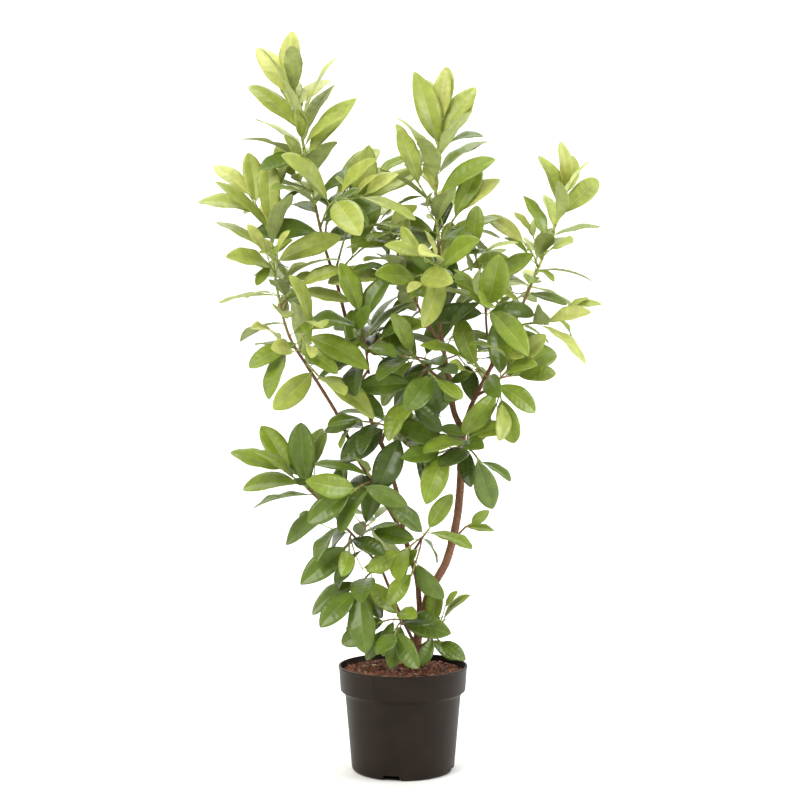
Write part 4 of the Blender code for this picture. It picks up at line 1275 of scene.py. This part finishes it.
def make_twigs(name, mass):
    batch = new_batch()
    woody, ripening = RIPE_SHARES["crown" if "crown" in name else "mass"]
    for number, twig in enumerate(mass["twigs"]):
        age = 0.0 if number == 0 else SIDE_TWIG_LEAD if "parent" not in twig else SHOOT_LEAD
        make_twig(batch, twig, mass["leaves"], age, woody, ripening)
        make_bud(batch, twig)
    return new_piece(f"{name}_twigs", batch, bark_materials, "bark", name)


twig_count = 0
for name, mass in masses.items():
    make_twigs(name, mass)
    twig_count += len(mass["twigs"])
print(twig_count, "twigs")

# %% [markdown]
# ## The pot
#
# A nursery pot is injection moulded from recycled polypropylene: a charcoal skin with a soft sheen, a
# deep collar to lift it by, a thin lip, and a foot with four drainage notches. It is a turned shape,
# so a half section is spun round. Blender's Screw modifier does that, but the mould's parting seam on
# the collar needs a few closer steps, so the spin is written out. The notches are cut by Booleans.

# %% The pot's section
RIM_DIAMETER = 280
POT_HEIGHT = 225
COLLAR_FOOT_DIAMETER = 271
COLLAR_FOOT_HEIGHT = 172
SHOULDER_HEIGHT = 161
SHOULDER_DIAMETER = 250
FOOT_DIAMETER = 221
FOOT_ROUNDING = 9
WALL = 2.4
LIP_WIDTH = 4.0
LIP_DEPTH = 5.0
LIP_STEP = 1.3
FLOOR = 3.0
ROUNDING_STEPS = 5


def pot_corners():
    """The section's corners, each with its radius of rounding, from the floor's middle to the foot's."""
    rim, collar, shoulder = RIM_DIAMETER / 2, COLLAR_FOOT_DIAMETER / 2, SHOULDER_DIAMETER / 2
    foot = FOOT_DIAMETER / 2
    return [
        (0, FLOOR, 0),
        (foot - WALL, FLOOR, FOOT_ROUNDING - WALL),
        (shoulder - WALL, SHOULDER_HEIGHT + 2, 3),
        (collar - WALL - 1.5, COLLAR_FOOT_HEIGHT + 2, 3),
        (rim - WALL - LIP_STEP, POT_HEIGHT - LIP_DEPTH, 1),
        (rim - LIP_WIDTH, POT_HEIGHT, 0.8),
        (rim, POT_HEIGHT, 1.2),
        (rim, POT_HEIGHT - LIP_DEPTH, 0.8),
        (rim - LIP_STEP, POT_HEIGHT - LIP_DEPTH - 1, 0.6),
        (collar, COLLAR_FOOT_HEIGHT, 1.6),
        (shoulder + 2, SHOULDER_HEIGHT + 5, 5),
        (shoulder, SHOULDER_HEIGHT - 2, 3),
        (foot, 0, FOOT_ROUNDING),
        (0, 0, 0),
    ]


def rounded(corners):
    """The outline with each corner eased by a short curve of its radius."""
    points = [corners[0][:2]]
    for before, here, after in zip(corners, corners[1:], corners[2:]):
        corner = np.array(here[:2], float)
        way_in, way_out = np.array(before[:2]) - corner, np.array(after[:2]) - corner
        near, far = np.linalg.norm(way_in), np.linalg.norm(way_out)
        cut = min(here[2], near / 2, far / 2)
        start, end = corner + way_in / near * cut, corner + way_out / far * cut
        for step in range(ROUNDING_STEPS + 1):
            t = step / ROUNDING_STEPS
            points.append(tuple(start * (1 - t)**2 + corner * 2 * t * (1 - t) + end * t**2))
    return points + [corners[-1][:2]]


section = rounded(pot_corners())
print("the pot's section has", len(section), "points")

# %% Spinning the pot
POT_STEPS = 144
SEAM_ANGLES = (-118.0, 62.0)  # the two halves of the mould meet here
SEAM_WIDTH = 1.2
SEAM_HEIGHT = 0.35
SEAM_CLEARANCE = 0.8  # of half its width: even steps that come nearer to a seam's are left out
LIP_POINTS = 8  # of the section, from its highest point round the lip
NOTCH_COUNT = 4
NOTCH_WIDTH = 43
NOTCH_HEIGHT = 11.5
NOTCH_DEPTH = 26
NOTCH_FLARE = (0.74, 1.26)  # of its width, at its top and its bottom
NOTCH_TURN = -13


def on_circle(radius, angle, height):
    """A point round the pot's axis, given in millimetres."""
    return (radius * math.cos(angle) * MM, radius * math.sin(angle) * MM, height * MM)


def spin_angles():
    """Even steps round the pot, with three more at each seam."""
    half = math.degrees(SEAM_WIDTH / (COLLAR_FOOT_DIAMETER / 2)) / 2
    seams = [s % 360 + step * half for s in SEAM_ANGLES for step in (-1, 0, 1)]
    even = [360 * k / POT_STEPS for k in range(POT_STEPS)]
    clear = [a for a in even if all(abs(a - s) > half * SEAM_CLEARANCE for s in seams)]
    return sorted([(a, False) for a in clear] + [(s, k % 3 == 1) for k, s in enumerate(seams)])


def spun_pot():
    """The section spun round, closed at the axis, with the seams raised on the outside."""
    angles = spin_angles()
    top = max(range(len(section)), key=lambda k: section[k][1])
    batch = new_batch()
    inner = section[1:-1]
    points = []
    for angle, on_seam in angles:
        turn = math.radians(angle)
        for k, (x, z) in enumerate(inner, 1):
            outside = k > top + LIP_POINTS and z > FOOT_ROUNDING
            raised = SEAM_HEIGHT if on_seam and outside else 0.0
            points.append(on_circle(x + raised, turn, z))
    count, rows = len(angles), len(inner)
    faces = []
    for k in range(count):
        n = (k + 1) % count
        for row in range(rows - 1):
            faces.append((k * rows + row, k * rows + row + 1, n * rows + row + 1, n * rows + row))
    floor, foot = len(points), len(points) + 1
    points += [(0, 0, section[0][1] * MM), (0, 0, 0)]
    for k in range(count):
        n = (k + 1) % count
        faces += [(floor, k * rows, n * rows), (foot, n * rows + rows - 1, k * rows + rows - 1)]
    add_to(batch, points, faces, 0)
    return batch


def notch_block(k):
    """A block with a flat top and sloping cheeks, across the foot's edge."""
    work = bmesh.new()
    bmesh.ops.create_cube(work, size=1)
    angle = math.radians(-90 + NOTCH_TURN + 360 / NOTCH_COUNT * k)
    for vertex in work.verts:
        flare = NOTCH_FLARE[0] if vertex.co.z > 0 else NOTCH_FLARE[1]
        across = vertex.co.x * NOTCH_WIDTH * MM * flare
        out = vertex.co.y * NOTCH_DEPTH * MM + FOOT_DIAMETER / 2 * MM
        vertex.co = (
            out * math.cos(angle) - across * math.sin(angle),
            out * math.sin(angle) + across * math.cos(angle),
            vertex.co.z * 2 * NOTCH_HEIGHT * MM,
        )
    bmesh.ops.recalc_face_normals(work, faces=work.faces)
    mesh = bpy.data.meshes.new(f"notch_{k + 1}")
    work.to_mesh(mesh)
    work.free()
    return bpy.data.objects.new(f"notch_{k + 1}", mesh)


print("the pot is spun in", len(spin_angles()), "steps")

# %% Cutting the notches and shading the edges
SHARP_ANGLE = 32


def smooth_by_angle(mesh, degrees):
    """Smooth faces, with the edges sharper than the angle kept crisp."""
    work = bmesh.new()
    work.from_mesh(mesh)
    bmesh.ops.recalc_face_normals(work, faces=work.faces)
    for face in work.faces:
        face.smooth = True
    for edge in work.edges:
        edge.smooth = edge.calc_face_angle(0.0) < math.radians(degrees)
    work.to_mesh(mesh)
    work.free()


def cut_notches(pot):
    for k in range(NOTCH_COUNT):
        block = notch_block(k)
        bpy.context.scene.collection.objects.link(block)
        cut = pot.modifiers.new(block.name, "BOOLEAN")
        cut.operation = "DIFFERENCE"
        cut.solver = "EXACT"
        cut.object = block
        bpy.context.view_layer.update()
        mesh = bpy.data.meshes.new_from_object(pot.evaluated_get(bpy.context.evaluated_depsgraph_get()))
        pot.modifiers.clear()
        pot.data = mesh
        bpy.data.objects.remove(block)
    smooth_by_angle(pot.data, SHARP_ANGLE)


# Injection moulded polypropylene: charcoal, faintly brown, with the mould's matt skin and a low sheen
pot_plastic, pot_tree, pot_shader = new_material("moulded_recycled_polypropylene", {
    "Roughness": 0.45, "IOR": 1.49, "Specular IOR Level": 0.16,
})
pot_tree.links.new(patches(pot_tree, "#1A130C", "#241B13", size=60), pot_shader.inputs["Base Color"])
grain(pot_tree, pot_shader, size=2.2, height=0.05)  # the real grain is under half a millimetre
pot = new_piece("nursery_pot", spun_pot(), [pot_plastic], "pot_plastic", "pot")
cut_notches(pot)
print("the pot has", len(pot.data.polygons), "faces")

# %% [markdown]
# ## The substrate
#
# The pot is filled with bark and peat. A noise on a disc gives the lumps, but only loose chips on top
# of it read as bark, so fifteen hundred small slabs are scattered on it, half sunk, in four browns.
# They are one mesh, like the leaves.

# %% The lumpy top
SOIL_EDGE_HEIGHT = 211
SOIL_MOUND = 7
SOIL_FOOT = 150
SOIL_CLEARANCE = 0.6
FOOT_CLEARANCE = 1
WALL_LEAN = 1.4  # how much narrower the pot is below the substrate's edge than under its lip
SOIL_RINGS = 44
SOIL_STEPS = 110
LUMPS = ((1.6, 22), (0.9, 8), (0.45, 3.5))  # height and size of the coarse, middle and fine lumps


def soil_radius():
    return RIM_DIAMETER / 2 - WALL - LIP_STEP - WALL_LEAN - SOIL_CLEARANCE


def soil_height(x, y):
    """The substrate's height at a place, all in millimetres."""
    share = math.hypot(x, y) / soil_radius()
    mound = SOIL_EDGE_HEIGHT + SOIL_MOUND * (1 - share**2)
    return mound + sum(height * noise.noise(Vector((x, y, size)) / size) for height, size in LUMPS)


def make_soil():
    """A lumpy disc of rings, with a foot that reaches down into the pot."""
    batch = new_batch()
    points = []
    for ring in range(SOIL_RINGS + 1):
        radius = soil_radius() * (1 - ring / SOIL_RINGS)
        for k in range(SOIL_STEPS if ring < SOIL_RINGS else 1):
            angle = 2 * math.pi * k / SOIL_STEPS
            x, y = radius * math.cos(angle), radius * math.sin(angle)
            points.append((x * MM, y * MM, soil_height(x, y) * MM))
    faces = bands(SOIL_RINGS, SOIL_STEPS)
    inner, middle = (SOIL_RINGS - 1) * SOIL_STEPS, SOIL_RINGS * SOIL_STEPS
    faces += [(inner + k, inner + (k + 1) % SOIL_STEPS, middle) for k in range(SOIL_STEPS)]
    bottom = len(points)
    foot_radius = SHOULDER_DIAMETER / 2 - WALL - FOOT_CLEARANCE
    for k in range(SOIL_STEPS):
        points.append(on_circle(foot_radius, 2 * math.pi * k / SOIL_STEPS, SOIL_FOOT))
        n = (k + 1) % SOIL_STEPS
        faces.append((bottom + k, bottom + n, n, k))
    faces.append(tuple(range(bottom + SOIL_STEPS - 1, bottom - 1, -1)))
    add_to(batch, points, faces, 0)
    return batch


def crumbly(name, dark, light, roughness, patch, size, height):
    """A rough, dull brown in patches, with a crumbly grain."""
    material, tree, shader = new_material(name, {"Roughness": roughness, "IOR": 1.5})
    tree.links.new(patches(tree, dark, light, size=patch, sharpness=0.7), shader.inputs["Base Color"])
    grain(tree, shader, size=size, height=height)
    return material


# Moist peat and bark fines: dark, without any shine
peat = crumbly("moist_peat", "#2E1B12", "#5A3420", 0.95, 9, 2.0, 0.9)
new_piece("substrate", make_soil(), [peat], "bark_substrate", "soil")
print("the substrate is", round(soil_height(0, 0)), "mm high in the middle")

# %% The bark chips
CHIP_COUNT = 1500
CHIP_MARGIN = 8  # from the substrate's edge
CHIP_LIFT = (-0.3, 1.4)  # of its middle above the substrate
CHIP_LENGTH = (5, 19)
CHIP_WIDTH = (0.35, 0.75)
CHIP_THICKNESS = (1.2, 3.2)
CHIP_TILT = 24
CHIP_CORNERS = 6
CHIP_SHORTER = (0.6, 1)  # most chips are shorter than the longest ones
CHIP_FACE = (0.8, 0.95)  # the size of its upper face, over its back's
CHIP_SKEW = 0.3  # of the step from corner to corner
CHIP_UNEVEN = 0.22  # of its size
CHIP_WARP = 0.25  # of its thickness
CHIP_SEED = 41
STEM_PLACE = (24, 0, 17)  # no chips inside the trunk: its place and radius
CHIP_PATCH = 6
CHIP_GRAIN = 2.0
CHIP_KINDS = (  # name, two tones, roughness, height of the grain, and the running total of the shares
    ("red_brown_bark_chip", "#6B3A26", "#8A5236", 0.85, 0.4, 0.45),
    ("dark_bark_chip", "#3F2619", "#5C3A28", 0.9, 0.4, 0.80),
    ("tan_bark_chip", "#8C6444", "#A67C58", 0.85, 0.4, 0.96),
    ("pale_wood_chip", "#B59A76", "#C8B08C", 0.8, 0.3, 1.0),
)

# Bark and wood chips: rough, dry and dull, in four browns
chip_materials = [
    crumbly(name, dark, light, roughness, CHIP_PATCH, CHIP_GRAIN, height)
    for name, dark, light, roughness, height, _ in CHIP_KINDS
]


def chip_points(chance):
    """An uneven slab: a ring of corners on its upper face, drawn in a little, and one on its back."""
    length = chance.uniform(*CHIP_LENGTH) * chance.uniform(*CHIP_SHORTER)
    width = length * chance.uniform(*CHIP_WIDTH)
    thick = chance.uniform(*CHIP_THICKNESS)
    points = []
    for height, drawn in ((thick / 2, chance.uniform(*CHIP_FACE)), (-thick / 2, 1.0)):
        for k in range(CHIP_CORNERS):
            angle = 2 * math.pi * (k + CHIP_SKEW * math.sin(5 * k + length)) / CHIP_CORNERS
            uneven = 1 + CHIP_UNEVEN * math.sin(3.1 * k + 7 * width)
            points.append(Vector((
                length / 2 * drawn * uneven * math.cos(angle),
                width / 2 * drawn * uneven * math.sin(angle),
                height * (1 + CHIP_WARP * math.sin(2.3 * k + length)),
            )))
    return points


def chip_faces():
    n = CHIP_CORNERS
    sides = [(k, n + k, n + (k + 1) % n, (k + 1) % n) for k in range(n)]
    return [tuple(range(n)), tuple(range(2 * n - 1, n - 1, -1))] + sides


def make_chips():
    chance = random.Random(CHIP_SEED)
    batch = new_batch()
    faces = chip_faces()
    while batch["count"] < CHIP_COUNT * 2 * CHIP_CORNERS:
        radius = (soil_radius() - CHIP_MARGIN) * math.sqrt(chance.random())
        angle = chance.uniform(0, 2 * math.pi)
        x, y = radius * math.cos(angle), radius * math.sin(angle)
        if math.hypot(x - STEM_PLACE[0], y - STEM_PLACE[1]) < STEM_PLACE[2]:
            continue
        points = chip_points(chance)
        tilt = [math.radians(chance.uniform(-CHIP_TILT, CHIP_TILT)) for _ in range(2)]
        turn = chance.uniform(0, 2 * math.pi)
        centre = Vector((x, y, soil_height(x, y) + chance.uniform(*CHIP_LIFT)))
        for point in points:
            point.z += point.x * math.tan(tilt[0]) + point.y * math.tan(tilt[1])
            point.xy = (
                point.x * math.cos(turn) - point.y * math.sin(turn),
                point.x * math.sin(turn) + point.y * math.cos(turn),
            )
        kind = next(k for k, row in enumerate(CHIP_KINDS) if chance.random() <= row[-1])
        add_to(batch, [(point + centre) * MM for point in points], faces, kind, False)
    return batch


new_piece("bark_chips", make_chips(), chip_materials, "bark_substrate", "soil")
print(CHIP_COUNT, "bark chips")

# %% [markdown]
# ## Studio
#
# The plant stands on a plain pale sweep: a floor that curves up behind it, so that no horizon shows.
# The light is soft, from the upper left and the front, with a weaker lamp on the right that gives
# the pot its lighter edge. A third lamp, above the sweep, keeps it white behind the plant.

# %% Floor
SWEEP_WIDTH = 9.0
SWEEP_FRONT = -5.0
SWEEP_BACK = 2.6
SWEEP_RADIUS = 1.6
SWEEP_TOP = 5.0
SWEEP_STEPS = 16


def make_sweep():
    line = [(SWEEP_FRONT, 0.0), (SWEEP_BACK - SWEEP_RADIUS, 0.0)]
    for step in range(1, SWEEP_STEPS + 1):
        turn = math.pi / 2 * step / SWEEP_STEPS
        back = SWEEP_BACK - SWEEP_RADIUS * (1 - math.sin(turn))
        line.append((back, SWEEP_RADIUS * (1 - math.cos(turn))))
    line.append((SWEEP_BACK, SWEEP_TOP))
    points = [(x, y, z) for y, z in line for x in (-SWEEP_WIDTH / 2, SWEEP_WIDTH / 2)]
    faces = [(2 * k, 2 * k + 1, 2 * k + 3, 2 * k + 2) for k in range(len(line) - 1)]
    mesh = bpy.data.meshes.new("studio_sweep")
    mesh.from_pydata(points, [], faces)
    mesh.polygons.foreach_set("use_smooth", [True] * len(faces))
    return bpy.data.objects.new("studio_sweep", mesh)


# Painted paper: white, quite matt
paper, paper_tree, paper_shader = new_material("white_studio_paper", {"Roughness": 0.9, "IOR": 1.45})
paper_colour = patches(paper_tree, "#F2F2F0", "#F6F6F4", size=900)
paper_tree.links.new(paper_colour, paper_shader.inputs["Base Color"])
sweep = make_sweep()
sweep.data.materials.append(paper)
bpy.context.scene.collection.objects.link(sweep)
print("the sweep stands", SWEEP_BACK, "m behind the plant")

# %% Light and camera
SKY_STRENGTH = 0.6
CAMERA_PLACE = (-0.0065, -3.039, 0.799)
CAMERA_LENS = 63
SENSOR_WIDTH = 36


def new_softbox(name, position, aim, size, power, colour):
    """A square area light that faces a point."""
    data = bpy.data.lights.new(name, "AREA")
    data.shape = "SQUARE"
    data.size = size
    data.energy = power
    data.color = linear(colour)[:3]
    lamp = bpy.data.objects.new(name, data)
    lamp.location = position
    lamp.rotation_euler = (Vector(aim) - Vector(position)).to_track_quat("-Z", "Y").to_euler()
    bpy.context.scene.collection.objects.link(lamp)


new_softbox("key_light", (-2.0, -2.7, 3.0), aim=(0, 0, 0.9), size=2.4, power=130, colour="#FFFCF4")
new_softbox("edge_light", (2.6, -0.6, 1.4), aim=(0, 0, 0.6), size=1.4, power=55, colour="#FBFCFF")
new_softbox("background_light", (0, 0.9, 4.6), aim=(0, 3.2, 1.0), size=3.2, power=150, colour="#FFFFFF")
world = bpy.data.worlds.new("soft_white_sky")
world.use_nodes = True
world.node_tree.nodes["Background"].inputs["Color"].default_value = linear("#FFFFFF")
world.node_tree.nodes["Background"].inputs["Strength"].default_value = SKY_STRENGTH
bpy.context.scene.world = world
bpy.context.scene.view_settings.view_transform = "Standard"

camera_data = bpy.data.cameras.new("camera")
camera_data.lens = CAMERA_LENS
camera_data.sensor_width = SENSOR_WIDTH
camera = bpy.data.objects.new("camera", camera_data)
camera.location = CAMERA_PLACE
camera.rotation_euler = (math.radians(90), 0, 0)
bpy.context.scene.collection.objects.link(camera)
bpy.context.scene.camera = camera
print("the camera is", round(-CAMERA_PLACE[1], 2), "m in front of the plant")
